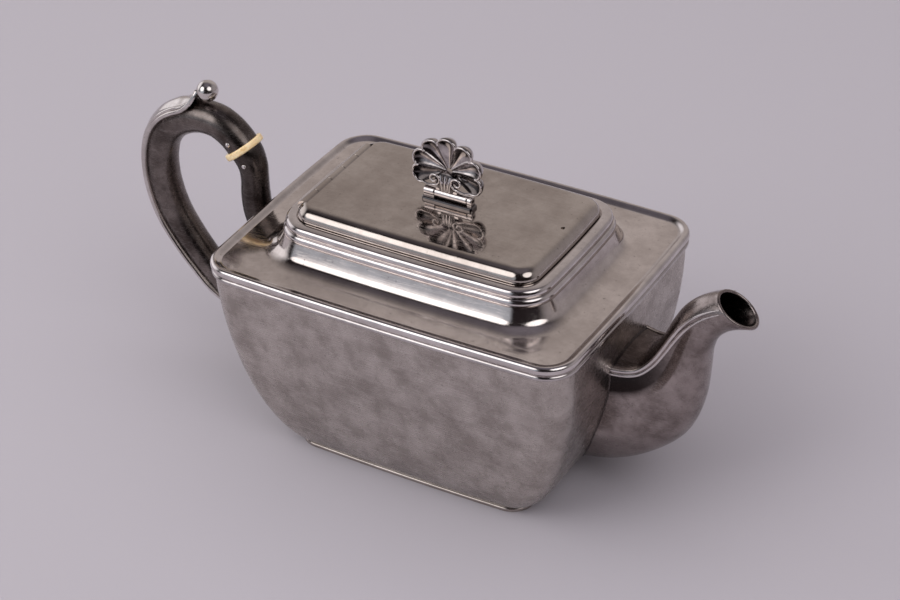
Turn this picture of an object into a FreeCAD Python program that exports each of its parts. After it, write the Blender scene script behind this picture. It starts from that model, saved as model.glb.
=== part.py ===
import FreeCAD, Part
import math
import os

# Silver teapot, sizes in millimetres. Origin at the middle of the foot's underside, +X to the spout, +Z up.
V = FreeCAD.Vector

# vessel plan and height
RIM_LENGTH = 149.0
RIM_WIDTH = 106.4
SIDE_BOW = 1.35
END_BOW = 1.1
CORNER_R = 11.0
FOOT_INSET_END = 24.8
FOOT_INSET_SIDE = 13.6
FOOT_CORNER_R = 8.6
CURVE_POWER = 1.8
SHEET = 1.2
FOOT_H = 2.0
FOOT_BAND = 3.0
FOOT_LIP = 0.4
SHOULDER_Z = 80.6
RIM_BEAD_R = 1.4
RIM_REED_R = 1.25

# collar and lid
LID_LENGTH = 100.6
LID_WIDTH = 59.2
LID_BOW = 0.9
LID_CORNER_R = 8.0
COVE_H = 6.2
COVE_W = 3.4
COVE_SAG = 0.29
REED_LOW_R = 2.1
REED_TOP_R = 1.7
COLLAR_OUT = 2.7
STEP_DROP = 0.9
LEDGE_IN = 3.5
LID_GAP = 0.3
LID_ROLL = 4.6
LID_RISE = 4.8
BEZEL_SIDE_GAP = 0.8
BEZEL_WALL = 1.0
BEZEL_DROP = 5.2
VENT_R = 0.8
VENT_X = 45.1
VENT_Y = 3.6

# lid hinge
HINGE_R = 2.2
HINGE_PIN_R = 0.9
HINGE_LENGTH = 45.0
HINGE_KNUCKLES = 5
KNUCKLE_GAP = 0.2
PIN_FIT = 0.05
HINGE_CLEAR = 0.25

# spout
SPOUT_SHEET = 1.2
SPOUT_REED_R = 1.15
REED_PROUD = 0.1
LIP_HEEL = (32.9, 93.8)
LIP_TIP = (48.1, 83.6)
STRAIN_R = 1.5
STRAIN_PITCH = 4.6
WINDOW_W = 18.0
WINDOW_Z = (18.0, 50.0)

# handle
GRIP_SHEET = 1.0
RING_R = 8.0
RING_T = 2.0
RING_ROUND = 0.6
RING_PLACE = (14.5, 98.4)
RING_LEAN = (-0.6, 0.8)
LOW_RING_PLACE = (14.1, 23.4)
LOW_RING_LEAN = (0.97, -0.243)
GRIP_END_R = 6.4
SOCKET_END_R = 6.2
LOW_END_R = 5.5
TENON_R = 3.8
LOW_RING_R = 7.0
LOW_TENON_R = 2.8
TENON_LENGTH = 7.0
TENON_FIT = 0.1
CROSS_PIN_R = 0.9
STRAP_T = 2.2
STRAP_HALF_ANGLE = 54.0
STRAP_START = 4
BALL_R = 4.2
BALL_PLACE = (28.4, 120.2)

# finial
FINIAL_PLATE = (22.0, 7.0, 1.1)
PLATE_ROUND = 1.6
FINIAL_BARREL_R = 1.7
FINIAL_PIN_R = 0.7
FINIAL_AXIS_UP = 3.3
FINIAL_LEAN = 4.0
SHELL_LOBES = 7
SHELL_REACH = 14.0
SHELL_LOBE_R = 3.7
SHELL_BACK = 5.5
SHELL_RISE = 8.9
SHELL_FAN = 105.0
SHELL_FACE = -0.6
FLUTE_FRONT = 2.0
FLUTE_RIB = 1.1
STEM_R = (2.6, 2.2)
STEM_UP = 1.0
STEM_BACK = 0.4
SCROLL_R = 2.3
SCROLL_OUT = 4.2
SCROLL_UP = 4.9
SCROLL_Y = (-1.6, 2.0)
BARREL = (-9.3, -4.8, 8.6, 10.6)
BARREL_CLEAR = 0.3
STUD_R = 1.5

# values that follow from the sizes above
HALF_L = RIM_LENGTH / 2
HALF_W = RIM_WIDTH / 2
WALL_TOP = SHOULDER_Z - SHEET
LID_A = LID_LENGTH / 2
LID_B = LID_WIDTH / 2
COVE_TOP = SHOULDER_Z + COVE_H
REED_MID = COVE_TOP + 2 * REED_LOW_R
STEP_Z = REED_MID + 2 * REED_TOP_R
LEDGE_Z = STEP_Z - STEP_DROP - LID_GAP
LID_Z = STEP_Z - STEP_DROP
LID_TOP = STEP_Z + LID_RISE
HINGE_X = -(LID_A - HINGE_R)
HINGE_Z = STEP_Z + 2.2
FINIAL_Z = LID_TOP + FINIAL_AXIS_UP

os.makedirs("parts", exist_ok=True)


def save(name, shape):
    solids = shape.Solids
    if len(solids) == 1:
        shape = solids[0]
    shape.exportStep("parts/" + name + ".step")
    print(name, len(solids), shape.isValid(), round(shape.Volume, 1))


# closed outline with four bowed sides and four round corners, starting at the middle of the +X side
def outline(half_l, half_w, bow_l, bow_w, r, z, grow=0.0):
    big_l = (half_l ** 2 + bow_l ** 2) / (2 * bow_l)
    big_w = (half_w ** 2 + bow_w ** 2) / (2 * bow_w)
    cl = (0.0, half_w - big_l)
    cw = (half_l - big_w, 0.0)
    da = big_l - r
    db = big_w - r
    dx = cw[0] - cl[0]
    dy = cw[1] - cl[1]
    d = math.hypot(dx, dy)
    along = (da ** 2 - db ** 2 + d ** 2) / (2 * d)
    side = math.sqrt(da ** 2 - along ** 2)
    ux, uy = dx / d, dy / d
    ends = []
    for s in (1, -1):
        ends.append((cl[0] + along * ux - s * side * uy, cl[1] + along * uy + s * side * ux))
    c = max(ends, key=lambda p: p[0] + p[1])
    half_l = half_l + grow
    half_w = half_w + grow
    big_l = big_l + grow
    big_w = big_w + grow
    r = r + grow
    tl = (cl[0] + (c[0] - cl[0]) * big_l / da, cl[1] + (c[1] - cl[1]) * big_l / da)
    tw = (cw[0] + (c[0] - cw[0]) * big_w / db, cw[1] + (c[1] - cw[1]) * big_w / db)
    m = math.hypot(tl[0] + tw[0] - 2 * c[0], tl[1] + tw[1] - 2 * c[1])
    tm = (c[0] + r * (tl[0] + tw[0] - 2 * c[0]) / m, c[1] + r * (tl[1] + tw[1] - 2 * c[1]) / m)
    half_angle = math.atan2(tw[1], tw[0] - cw[0]) / 2
    qw = (cw[0] + big_w * math.cos(half_angle), big_w * math.sin(half_angle))

    def p(a, sx, sy):
        return V(sx * a[0], sy * a[1], z)

    arcs = [
        (V(half_l, 0, z), p(qw, 1, 1), p(tw, 1, 1)),
        (p(tw, 1, 1), p(tm, 1, 1), p(tl, 1, 1)),
        (p(tl, 1, 1), V(0, half_w, z), p(tl, -1, 1)),
        (p(tl, -1, 1), p(tm, -1, 1), p(tw, -1, 1)),
        (p(tw, -1, 1), V(-half_l, 0, z), p(tw, -1, -1)),
        (p(tw, -1, -1), p(tm, -1, -1), p(tl, -1, -1)),
        (p(tl, -1, -1), V(0, -half_w, z), p(tl, 1, -1)),
        (p(tl, 1, -1), p(tm, 1, -1), p(tw, 1, -1)),
        (p(tw, 1, -1), p(qw, 1, -1), V(half_l, 0, z)),
    ]
    return Part.Wire([Part.Arc(a, b, c2).toShape() for a, b, c2 in arcs])


def prism(wire, height):
    return Part.Face(wire).extrude(V(0, 0, height))


def vessel_outline(grow, z):
    return outline(HALF_L, HALF_W, SIDE_BOW, END_BOW, CORNER_R, z, grow)


def lid_outline(grow, z):
    return outline(LID_A, LID_B, LID_BOW, LID_BOW, LID_CORNER_R, z, grow)


# share of the foot inset reached at t, 0 at the rim and 1 at the foot
def curve(t):
    full = 1 - 0.02 ** (1 / CURVE_POWER)
    return (1 - (1 - 0.98 * t ** CURVE_POWER) ** (1 / CURVE_POWER)) / full


def vessel_loft(thin, bottom):
    wires = []
    for t in (0.0, 0.14, 0.3, 0.46, 0.6, 0.72, 0.82, 0.9, 0.955, 1.0):
        k = curve(t)
        z = WALL_TOP + (bottom - WALL_TOP) * t
        a = HALF_L - FOOT_INSET_END * k
        b = HALF_W - FOOT_INSET_SIDE * k
        r = CORNER_R + (FOOT_CORNER_R - CORNER_R) * t
        soft = 1 - 0.3 * t
        wires.append(outline(a, b, SIDE_BOW * soft, END_BOW * soft, r, z, -thin))
    return Part.makeLoft(wires, True, False)


def foot_outline(grow, z):
    a = HALF_L - FOOT_INSET_END
    b = HALF_W - FOOT_INSET_SIDE
    return outline(a, b, SIDE_BOW * 0.7, END_BOW * 0.7, FOOT_CORNER_R, z, grow)


def swept(spine, points):
    edges = []
    for item in points:
        if len(item) == 2:
            edges.append(Part.makeLine(item[0], item[1]))
        else:
            edges.append(Part.Arc(item[0], item[1], item[2]).toShape())
    return spine.makePipeShell([Part.Wire(edges)], True, True)


# closed chain of straight and three-point pieces given as (x, z) or ((x, z) through, (x, z))
def chain(x0, steps):
    out = []
    last = steps[0]
    for s in steps[1:]:
        a = V(x0 + last[0], 0, last[1])
        if isinstance(s[0], tuple):
            out.append((a, V(x0 + s[0][0], 0, s[0][1]), V(x0 + s[1][0], 0, s[1][1])))
            last = s[1]
        else:
            out.append((a, V(x0 + s[0], 0, s[1])))
            last = s
    return out


def box(x0, x1, y0, y1, z0, z1):
    return Part.makeBox(x1 - x0, y1 - y0, z1 - z0, V(x0, y0, z0))


def rod(r, start, end):
    return Part.makeCylinder(r, (end - start).Length, start, end - start)


# vessel
vessel_out = vessel_loft(0.0, FOOT_H)
vessel_in = vessel_loft(SHEET, FOOT_H + SHEET)
floor_hole = prism(foot_outline(-SHEET, FOOT_H), SHEET)
body_wall = vessel_out.cut(vessel_in).cut(floor_hole)
base_plate = prism(foot_outline(-FOOT_BAND, 0), SHEET)
foot_rim = prism(foot_outline(FOOT_LIP, 0), FOOT_H).cut(prism(foot_outline(-FOOT_BAND, 0), FOOT_H))

# shoulder with the cove that rises to the collar
flat = prism(vessel_outline(0, WALL_TOP), SHEET)
cove_out = COLLAR_OUT + COVE_W
flat = flat.cut(prism(lid_outline(cove_out - 0.5, WALL_TOP), SHEET))
cove_mid = (COLLAR_OUT + COVE_SAG * COVE_W, SHOULDER_Z + COVE_SAG * COVE_H)
cove = swept(lid_outline(0, 0), chain(LID_A, [
    (cove_out, WALL_TOP),
    (cove_out, SHOULDER_Z),
    (cove_mid, (COLLAR_OUT, COVE_TOP)),
    (COLLAR_OUT - SHEET, COVE_TOP),
    ((cove_mid[0] - SHEET, cove_mid[1] - SHEET), (cove_out - SHEET, WALL_TOP)),
    (cove_out, WALL_TOP),
]))
shoulder_plate = flat.fuse(cove).removeSplitter()

# two reeds round the edge of the shoulder
bead_z = SHOULDER_Z - 0.2
reed_z = bead_z - RIM_BEAD_R - RIM_REED_R
rim_moulding = swept(vessel_outline(0, 0), chain(HALF_L, [
    (0, bead_z + RIM_BEAD_R),
    ((RIM_BEAD_R, bead_z), (0.2, bead_z - RIM_BEAD_R)),
    ((RIM_REED_R + 0.1, reed_z), (0, reed_z - RIM_REED_R)),
    (0, SHOULDER_Z),
    (-0.9, SHOULDER_Z),
    ((-0.55, SHOULDER_Z + 0.8), (0, bead_z + RIM_BEAD_R)),
]))
rim_moulding = rim_moulding.cut(vessel_out)

# collar with two reeds, the flat step and the ledge under the lid
web = COLLAR_OUT - SHEET
collar_reeding = swept(lid_outline(0, 0), chain(LID_A, [
    (web, COVE_TOP),
    (COLLAR_OUT, COVE_TOP),
    ((COLLAR_OUT + REED_LOW_R, COVE_TOP + REED_LOW_R), (COLLAR_OUT + 0.3, REED_MID)),
    ((COLLAR_OUT + REED_TOP_R + 0.2, REED_MID + REED_TOP_R), (COLLAR_OUT, STEP_Z)),
    (LID_GAP, STEP_Z),
    (LID_GAP, LEDGE_Z),
    (-LEDGE_IN, LEDGE_Z),
    (-LEDGE_IN, LEDGE_Z - SHEET),
    (web, LEDGE_Z - SHEET),
    (web, COVE_TOP),
]))
relief = prism(lid_outline(LID_GAP, LEDGE_Z - 0.8), 0.8)
relief = relief.common(box(-LID_A - 1, HINGE_X + 3.0, -LID_B - 1, LID_B + 1, LEDGE_Z - 1, LEDGE_Z))
collar_reeding = collar_reeding.cut(relief)

# lid panel with its rolled edge
def lid_solid(grow, z0, z1, roll):
    blank = prism(lid_outline(grow, z0), z1 - z0)
    edges = []
    for e in blank.Edges:
        if min(v.Z for v in e.Vertexes) > z1 - 0.01:
            edges.append(e)
    return blank.makeFillet(roll, edges)


lid_panel = lid_solid(0, LID_Z, LID_TOP, LID_ROLL)
lid_panel = lid_panel.cut(lid_solid(-SHEET, LID_Z - 1, LID_TOP - SHEET, LID_ROLL - SHEET))
half_hinge = HINGE_LENGTH / 2
notch_x = HINGE_X + HINGE_R + HINGE_CLEAR
notch_y = half_hinge + HINGE_CLEAR
lid_panel = lid_panel.cut(box(-LID_A - 2, notch_x, -notch_y, notch_y, LID_Z - 1, LID_TOP + 1))
lid_panel = lid_panel.cut(rod(VENT_R, V(VENT_X, VENT_Y, LID_TOP - 3), V(VENT_X, VENT_Y, LID_TOP + 1)))
lid_panel = lid_panel.cut(rod(STUD_R, V(0, 0, LID_TOP - 3), V(0, 0, LID_TOP + 1)))

bezel_out = -LEDGE_IN - BEZEL_SIDE_GAP
bezel_low = LID_TOP - SHEET - BEZEL_DROP - LID_RISE + 1.0
lid_bezel = prism(lid_outline(bezel_out, bezel_low), LID_TOP - SHEET - bezel_low)
lid_bezel = lid_bezel.cut(prism(lid_outline(bezel_out - BEZEL_WALL, bezel_low), LID_TOP))
lid_bezel = lid_bezel.cut(box(-LID_A, HINGE_X + 5.0, -LID_B, LID_B, bezel_low - 1, LID_TOP))

# lid hinge
step_len = HINGE_LENGTH / HINGE_KNUCKLES
body_hinge = []
lid_hinge = []
for i in range(HINGE_KNUCKLES):
    y0 = -half_hinge + i * step_len + KNUCKLE_GAP / 2
    y1 = y0 + step_len - KNUCKLE_GAP
    barrel = rod(HINGE_R, V(HINGE_X, y0, HINGE_Z), V(HINGE_X, y1, HINGE_Z))
    if i % 2 == 0:
        leaf = box(HINGE_X - HINGE_R, HINGE_X - 0.6, y0, y1, LEDGE_Z - 0.8, HINGE_Z)
        leaf = leaf.common(prism(lid_outline(0, LEDGE_Z - SHEET), HINGE_Z))
        body_hinge.append(barrel.fuse(leaf))
    else:
        leaf = box(HINGE_X + 0.9, HINGE_X + 6.5, y0, y1, LID_TOP - SHEET - 1.3, LID_TOP - SHEET)
        lid_hinge.append(barrel.fuse(leaf))
pin_line = rod(HINGE_PIN_R, V(HINGE_X, -half_hinge, HINGE_Z), V(HINGE_X, half_hinge, HINGE_Z))
loose_line = rod(HINGE_PIN_R + PIN_FIT, V(HINGE_X, -half_hinge, HINGE_Z), V(HINGE_X, half_hinge, HINGE_Z))

# spout stations, x out from the end of the rim: bottom point, border point, crown point, border half width,
# belly half width, waist depth
STATIONS = [
    ((-21.5, 5.2), (-8.5, 59.6), (-7.9, 62.4), 14.9, 14.0, 0.8),
    ((-4.5, 9.6), (-0.1, 58.0), (0.7, 60.8), 13.8, 13.6, 1.0),
    ((11.3, 18.9), (7.3, 59.0), (6.7, 62.2), 11.9, 12.7, 1.2),
    ((22.1, 29.8), (12.5, 63.6), (10.9, 67.2), 10.0, 11.4, 1.2),
    ((27.5, 42.5), (15.9, 69.0), (13.9, 72.8), 8.7, 10.0, 1.1),
    ((29.5, 56.5), (18.9, 74.4), (16.7, 78.2), 7.9, 8.9, 0.9),
    ((30.7, 67.6), (22.2, 79.6), (19.9, 83.4), 7.5, 8.1, 0.7),
    ((33.5, 75.0), (26.3, 84.2), (23.9, 87.8), 7.2, 7.5, 0.4),
    ((38.5, 80.0), (31.5, 88.2), (29.1, 91.6), 6.9, 7.2, 0.1),
    ((45.3, 82.8), (38.5, 91.6), (36.3, 94.8), 6.5, 7.0, -0.1),
    ((53.5, 84.0), (47.1, 93.8), (44.9, 97.2), 6.0, 6.8, -0.2),
]


# section ring of a station, drawn in by a wall thickness
def spout_section(low, border, crown, yb, w, waist, thin):
    h = math.hypot(border[0] - low[0], border[1] - low[1])
    u = V((border[0] - low[0]) / h, 0, (border[1] - low[1]) / h)
    base = V(HALF_L + low[0], 0, low[1])
    rise = math.hypot(crown[0] - border[0], crown[1] - border[1])
    half = [
        (0.0, 0.0),
        (0.07 * h, 0.56 * w),
        (0.34 * h, w),
        (0.64 * h, 0.95 * w),
        (0.87 * h, yb - waist),
        (h, yb),
        (h + 0.64 * rise, 0.64 * yb),
        (h + rise, 0.0),
    ]
    ring = half + [(a, -y) for a, y in reversed(half[1:-1])]
    pts = []
    n = len(ring)
    for i in range(n):
        before = ring[i - 1]
        after = ring[(i + 1) % n]
        ta = after[0] - before[0]
        ty = after[1] - before[1]
        m = math.hypot(ta, ty)
        a = ring[i][0] + thin * ty / m
        y = ring[i][1] - thin * ta / m
        pts.append(base + u * a + V(0, y, 0))
    spline = Part.BSplineCurve()
    spline.interpolate(pts, PeriodicFlag=True)
    return Part.Wire([spline.toShape()])


spout_out = Part.makeLoft([spout_section(*s, 0.0) for s in STATIONS], True, False)
spout_in = Part.makeLoft([spout_section(*s, SPOUT_SHEET) for s in STATIONS], True, False)
lip_dx = LIP_TIP[0] - LIP_HEEL[0]
lip_dz = LIP_TIP[1] - LIP_HEEL[1]
lip_n = V(-lip_dz, 0, lip_dx)
lip_n.normalize()
lip_mid = V(HALF_L + (LIP_HEEL[0] + LIP_TIP[0]) / 2, 0, (LIP_HEEL[1] + LIP_TIP[1]) / 2)
lip_cut = Part.makeCylinder(45, 60, lip_mid, lip_n)
spout_blank = spout_out.cut(lip_cut).cut(vessel_out)
spout_blank = max(spout_blank.Solids, key=lambda s: s.Volume)
spout_shell = spout_blank.cut(spout_in)
spout_shell = max(spout_shell.Solids, key=lambda s: s.Volume)


def border_line(side, out):
    pts = []
    for low, border, crown, yb, w, waist in STATIONS:
        pts.append(V(HALF_L + border[0], side * (yb + out), border[1]))
    c = Part.BSplineCurve()
    c.interpolate(pts)
    return c


def reed(side, out, r):
    c = border_line(side, out)
    t = c.tangent(c.FirstParameter)[0]
    ring = Part.Wire([Part.makeCircle(r, c.value(c.FirstParameter), t)])
    return Part.Wire([c.toShape()]).makePipeShell([ring], True, True)


reeds = {}
for side, name in ((-1, "near"), (1, "far")):
    strip = reed(side, REED_PROUD, SPOUT_REED_R).cut(lip_cut).cut(vessel_out)
    reeds[name] = max(strip.Solids, key=lambda s: s.Volume)

# strainer let into the end wall behind the spout
window = box(HALF_L - FOOT_INSET_END, HALF_L + SHEET, -WINDOW_W / 2, WINDOW_W / 2, WINDOW_Z[0], WINDOW_Z[1])
strainer_plate = body_wall.common(window)
body_wall = body_wall.cut(window)
row = 0
z = WINDOW_Z[0] + STRAIN_PITCH * 0.7
while z < WINDOW_Z[1] - STRAIN_PITCH * 0.5:
    shift = 0.5 * STRAIN_PITCH * (row % 2)
    for k in range(-2, 3):
        y = k * STRAIN_PITCH + shift - 0.25 * STRAIN_PITCH
        if abs(y) < WINDOW_W / 2 - STRAIN_R - 0.8:
            strainer_plate = strainer_plate.cut(rod(STRAIN_R, V(0, y, z), V(HALF_L, y, z)))
    row = row + 1
    z = z + STRAIN_PITCH * 0.9

# point in the middle plane, measured out from the handle end of the rim
def behind(out, z):
    return V(-HALF_L - out, 0, z)


# handle centre line from the upper ring round to the lower ring, with bar radius
RING_AT = behind(*RING_PLACE)
GRIP = [
    (19.5, 103.9, 6.45),
    (24.7, 106.8, 6.5),
    (32.0, 107.4, 6.5),
    (39.3, 105.4, 6.45),
    (45.9, 101.4, 6.4),
    (50.7, 95.8, 6.35),
    (53.7, 88.0, 6.3),
    (54.7, 78.5, 6.3),
    (53.7, 69.5, 6.25),
    (50.7, 60.0, 6.15),
    (45.7, 51.3, 6.0),
    (39.3, 42.6, 5.8),
    (32.2, 34.4, 5.6),
    (24.4, 27.8, 5.5),
]
LOW_RING_AT = behind(*LOW_RING_PLACE)
LOW_LEAN = V(LOW_RING_LEAN[0], 0, LOW_RING_LEAN[1])
LOW_LEAN.normalize()
LEAN = V(RING_LEAN[0], 0, RING_LEAN[1])
LEAN.normalize()


def bar(stations, first, last, thin):
    c = Part.BSplineCurve()
    c.interpolate(Points=[p for p, r in stations], InitialTangent=first, FinalTangent=last)
    wires = []
    for p, r in stations:
        t = c.tangent(c.parameter(p))[0]
        wires.append(Part.Wire([Part.makeCircle(r - thin, p, t)]))
    return Part.makeLoft(wires, True, False)


grip_start = RING_AT + LEAN * (RING_T / 2)
grip_end = LOW_RING_AT - LOW_LEAN * (RING_T / 2)
grip_line = [(grip_start, GRIP_END_R)] + [(behind(d, z), r) for d, z, r in GRIP] + [(grip_end, LOW_END_R)]
grip_out = bar(grip_line, LEAN, LOW_LEAN, 0.0)
grip_in = bar(grip_line, LEAN, LOW_LEAN, GRIP_SHEET)
handle_grip = grip_out.cut(grip_in)

sock_end = RING_AT - LEAN * (RING_T / 2)
SOCKET = [
    (-8.5, 57.6, 8.0),
    (0.5, 59.6, 7.2),
    (7.3, 64.4, 6.3),
    (10.7, 71.6, 5.8),
    (11.3, 79.6, 5.6),
    (11.0, 86.2, 5.4),
    (11.3, 91.6, 5.7),
]
socket_line = [(behind(d, z), r) for d, z, r in SOCKET] + [(sock_end, SOCKET_END_R)]
socket_way = V(-1, 0, 0.1)
socket_out = bar(socket_line, socket_way, LEAN, 0.0)
socket_in = bar(socket_line, socket_way, LEAN, GRIP_SHEET)
upper_handle_socket = socket_out.cut(socket_in).cut(vessel_out).cut(rim_moulding)

low_end = LOW_RING_AT + LOW_LEAN * (RING_T / 2)
LOW_SOCKET = [
    (1.5, 21.0, 5.7),
    (-8.5, 20.6, 6.6),
    (-18.5, 20.6, 7.6),
]
low_line = [(low_end, LOW_END_R)] + [(behind(d, z), r) for d, z, r in LOW_SOCKET]
low_out = bar(low_line, LOW_LEAN, V(1, 0, 0), 0.0)
low_in = bar(low_line, LOW_LEAN, V(1, 0, 0), GRIP_SHEET)
lower_handle_socket = low_out.cut(low_in).cut(vessel_out)


def biggest(shape):
    return max(shape.Solids, key=lambda s: s.Volume)


upper_handle_socket = biggest(upper_handle_socket)
lower_handle_socket = biggest(lower_handle_socket)


def insulator(at, lean, r, tenon_r):
    ring = Part.makeCylinder(r, RING_T, at - lean * (RING_T / 2), lean)
    ring = ring.makeFillet(RING_ROUND, ring.Edges[0:1] + ring.Edges[2:3])
    tenon_start = at - lean * (RING_T / 2 + TENON_LENGTH)
    tenon = Part.makeCylinder(tenon_r, TENON_LENGTH * 2 + RING_T, tenon_start, lean)
    return ring.fuse(tenon)


# room for a ring and its tenon in the tubes that meet there
def ring_seat(at, lean, r, tenon_r):
    slab = Part.makeCylinder(r + TENON_FIT, RING_T, at - lean * (RING_T / 2), lean)
    reach = RING_T / 2 + TENON_LENGTH + TENON_FIT
    bore = Part.makeCylinder(tenon_r + TENON_FIT, 2 * reach, at - lean * reach, lean)
    return slab.fuse(bore)


def cross_pin(at, half):
    return rod(CROSS_PIN_R, V(at.x, -half, at.z), V(at.x, half, at.z))


upper_insulator = insulator(RING_AT, LEAN, RING_R, TENON_R)
lower_insulator = insulator(LOW_RING_AT, LOW_LEAN, LOW_RING_R, LOW_TENON_R)
upper_seat = ring_seat(RING_AT, LEAN, RING_R, TENON_R)
lower_seat = ring_seat(LOW_RING_AT, LOW_LEAN, LOW_RING_R, LOW_TENON_R)
handle_grip = biggest(handle_grip.cut(upper_seat).cut(lower_seat))
upper_handle_socket = biggest(upper_handle_socket.cut(upper_seat))
lower_handle_socket = biggest(lower_handle_socket.cut(lower_seat))
pins = {
    "upper_socket_pin": cross_pin(RING_AT - LEAN * 5.6, 6.1),
    "upper_grip_pin": cross_pin(RING_AT + LEAN * 4.6, 6.7),
    "lower_socket_pin": cross_pin(LOW_RING_AT + LOW_LEAN * 5.0, 5.9),
    "lower_grip_pin": cross_pin(LOW_RING_AT - LOW_LEAN * 5.0, 5.8),
}
for pin in pins.values():
    upper_handle_socket = upper_handle_socket.cut(pin)
    lower_handle_socket = lower_handle_socket.cut(pin)
    handle_grip = handle_grip.cut(pin)
    upper_insulator = upper_insulator.cut(pin)
    lower_insulator = lower_insulator.cut(pin)

# strap on the outside of the grip
GRIP_MIDDLE = (RING_AT + LOW_RING_AT) * 0.5


def strap_section(at, r, t):
    out = V(t.z, 0, -t.x)
    if out.dot(at - GRIP_MIDDLE) < 0:
        out = out * -1
    a = math.radians(STRAP_HALF_ANGLE)
    inner = r - SHEET
    outer = r + STRAP_T

    def point(rad, ang):
        return at + out * (rad * math.cos(ang)) + V(0, rad * math.sin(ang), 0)

    edges = [
        Part.Arc(point(outer, -a), point(outer, 0), point(outer, a)).toShape(),
        Part.makeLine(point(outer, a), point(inner, a)),
        Part.Arc(point(inner, a), point(inner, 0), point(inner, -a)).toShape(),
        Part.makeLine(point(inner, -a), point(outer, -a)),
    ]
    return Part.Wire(edges)


line = Part.BSplineCurve()
line.interpolate(Points=[p for p, r in grip_line], InitialTangent=LEAN, FinalTangent=LOW_LEAN)
strap_wires = []
for p, r in grip_line[STRAP_START:-1]:
    strap_wires.append(strap_section(p, r, line.tangent(line.parameter(p))[0]))
handle_strap = Part.makeLoft(strap_wires, True, False).cut(grip_out)
handle_strap = biggest(handle_strap)

# thumb-piece: the strap lifts off the grip and curls into a ball
THUMB = [
    (39.3, 110.6, -0.55, 1.0, 1.9, 5.4),
    (35.9, 113.6, -0.75, 0.66, 1.6, 5.0),
    (33.1, 117.6, -0.95, 0.32, 1.4, 4.4),
    (31.1, 121.6, -0.8, 0.6, 1.3, 3.6),
    (28.5, 122.6, 0.05, 1.0, 1.2, 2.6),
]
thumb_wires = []
for d, z, nx, nz, t, w in THUMB:
    n = V(nx, 0, nz)
    n.normalize()
    c = behind(d, z)
    corner = [c + n * t + V(0, w, 0), c + n * t - V(0, w, 0), c - n * t - V(0, w, 0), c - n * t + V(0, w, 0)]
    thumb_wires.append(Part.makePolygon(corner + [corner[0]]))
thumb_piece = Part.makeLoft(thumb_wires, True, False)
thumb_piece = thumb_piece.fuse(Part.makeSphere(BALL_R, behind(*BALL_PLACE)))
thumb_piece = biggest(thumb_piece.cut(grip_out).cut(handle_strap))

# finial base with two outer knuckles, shell with the middle knuckle
fx, fy, fz = FINIAL_PLATE
finial_base = box(-fx / 2 + 0.6, fx / 2 + 0.6, -fy / 2, fy / 2, LID_TOP, LID_TOP + fz)
upright = [e for e in finial_base.Edges if abs(e.Vertexes[0].Z - e.Vertexes[-1].Z) > fz / 2]
finial_base = finial_base.makeFillet(PLATE_ROUND, upright)


def finial_rod(r, x0, x1):
    return rod(r, V(x0, 0, FINIAL_Z), V(x1, 0, FINIAL_Z))


for x0, x1 in ((BARREL[0], BARREL[1] - KNUCKLE_GAP), (BARREL[2] + KNUCKLE_GAP, BARREL[3])):
    foot = box(x0, x1, -1.3, 1.3, LID_TOP + fz / 2, FINIAL_Z)
    finial_base = finial_base.fuse(foot).fuse(finial_rod(FINIAL_BARREL_R, x0, x1))
finial_base = finial_base.fuse(rod(STUD_R, V(0, 0, LID_TOP - 5.0), V(0, 0, LID_TOP + 0.5)))
finial_base = finial_base.cut(finial_rod(FINIAL_PIN_R, BARREL[0] - 1, BARREL[3] + 1))
finial_nut = rod(3.6, V(0, 0, LID_TOP - SHEET - 2.6), V(0, 0, LID_TOP - SHEET)).cut(finial_base)
finial_pin = finial_rod(FINIAL_PIN_R, BARREL[0], BARREL[3])
finial_knuckle = finial_rod(FINIAL_BARREL_R, BARREL[1], BARREL[2])
finial_knuckle = finial_knuckle.fuse(box(-4.4, 4.6, -0.9, 1.2, FINIAL_Z, FINIAL_Z + 2.2))

# shell: lobes fan out from low in the middle, thick and round behind, fluted in front
root = V(0, SHELL_BACK - SHELL_LOBE_R, FINIAL_Z + SHELL_RISE)
lobes = []
flutes = []
for i in range(SHELL_LOBES):
    ang = math.radians(SHELL_FAN * (2 * i / (SHELL_LOBES - 1) - 1))
    d = V(math.sin(ang), 0, math.cos(ang))
    reach = SHELL_REACH - SHELL_LOBE_R
    tip = root + d * reach
    lobe = Part.makeCone(SHELL_LOBE_R / 2, SHELL_LOBE_R, reach, root, d).fuse(Part.makeSphere(SHELL_LOBE_R, tip))
    lobes.append(lobe)
    front = V(0, -FLUTE_FRONT, 0)
    flute_r = SHELL_LOBE_R - FLUTE_RIB
    flute = Part.makeCone(flute_r / 4, flute_r, reach, root + front, d)
    flutes.append(flute.fuse(Part.makeSphere(flute_r, tip + front)))
finial_shell = lobes[0].multiFuse(lobes[1:])
wide = 2 * SHELL_REACH
finial_shell = finial_shell.cut(box(-wide, wide, -wide, SHELL_FACE, LID_TOP, LID_TOP + 2 * wide))
for flute in flutes:
    finial_shell = finial_shell.cut(flute)
stem_foot = V(0, STEM_BACK, FINIAL_Z + STEM_UP)
stem = Part.makeCone(STEM_R[0], STEM_R[1], SHELL_RISE - STEM_UP, stem_foot, V(0, 0, 1))
finial_shell = finial_shell.fuse(stem)
for side in (-1, 1):
    scroll_x = side * SCROLL_OUT
    scroll_z = FINIAL_Z + SCROLL_UP
    scroll = rod(SCROLL_R, V(scroll_x, SCROLL_Y[0], scroll_z), V(scroll_x, SCROLL_Y[1], scroll_z))
    finial_shell = finial_shell.fuse(scroll)
finial_shell.rotate(V(0, 0, FINIAL_Z), V(1, 0, 0), -FINIAL_LEAN)
barrel_room = finial_rod(FINIAL_BARREL_R + BARREL_CLEAR, BARREL[0] - 2, BARREL[3] + 2)
finial_shell = finial_shell.cut(finial_knuckle).cut(barrel_room)
finial_shell = biggest(finial_shell)
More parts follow.
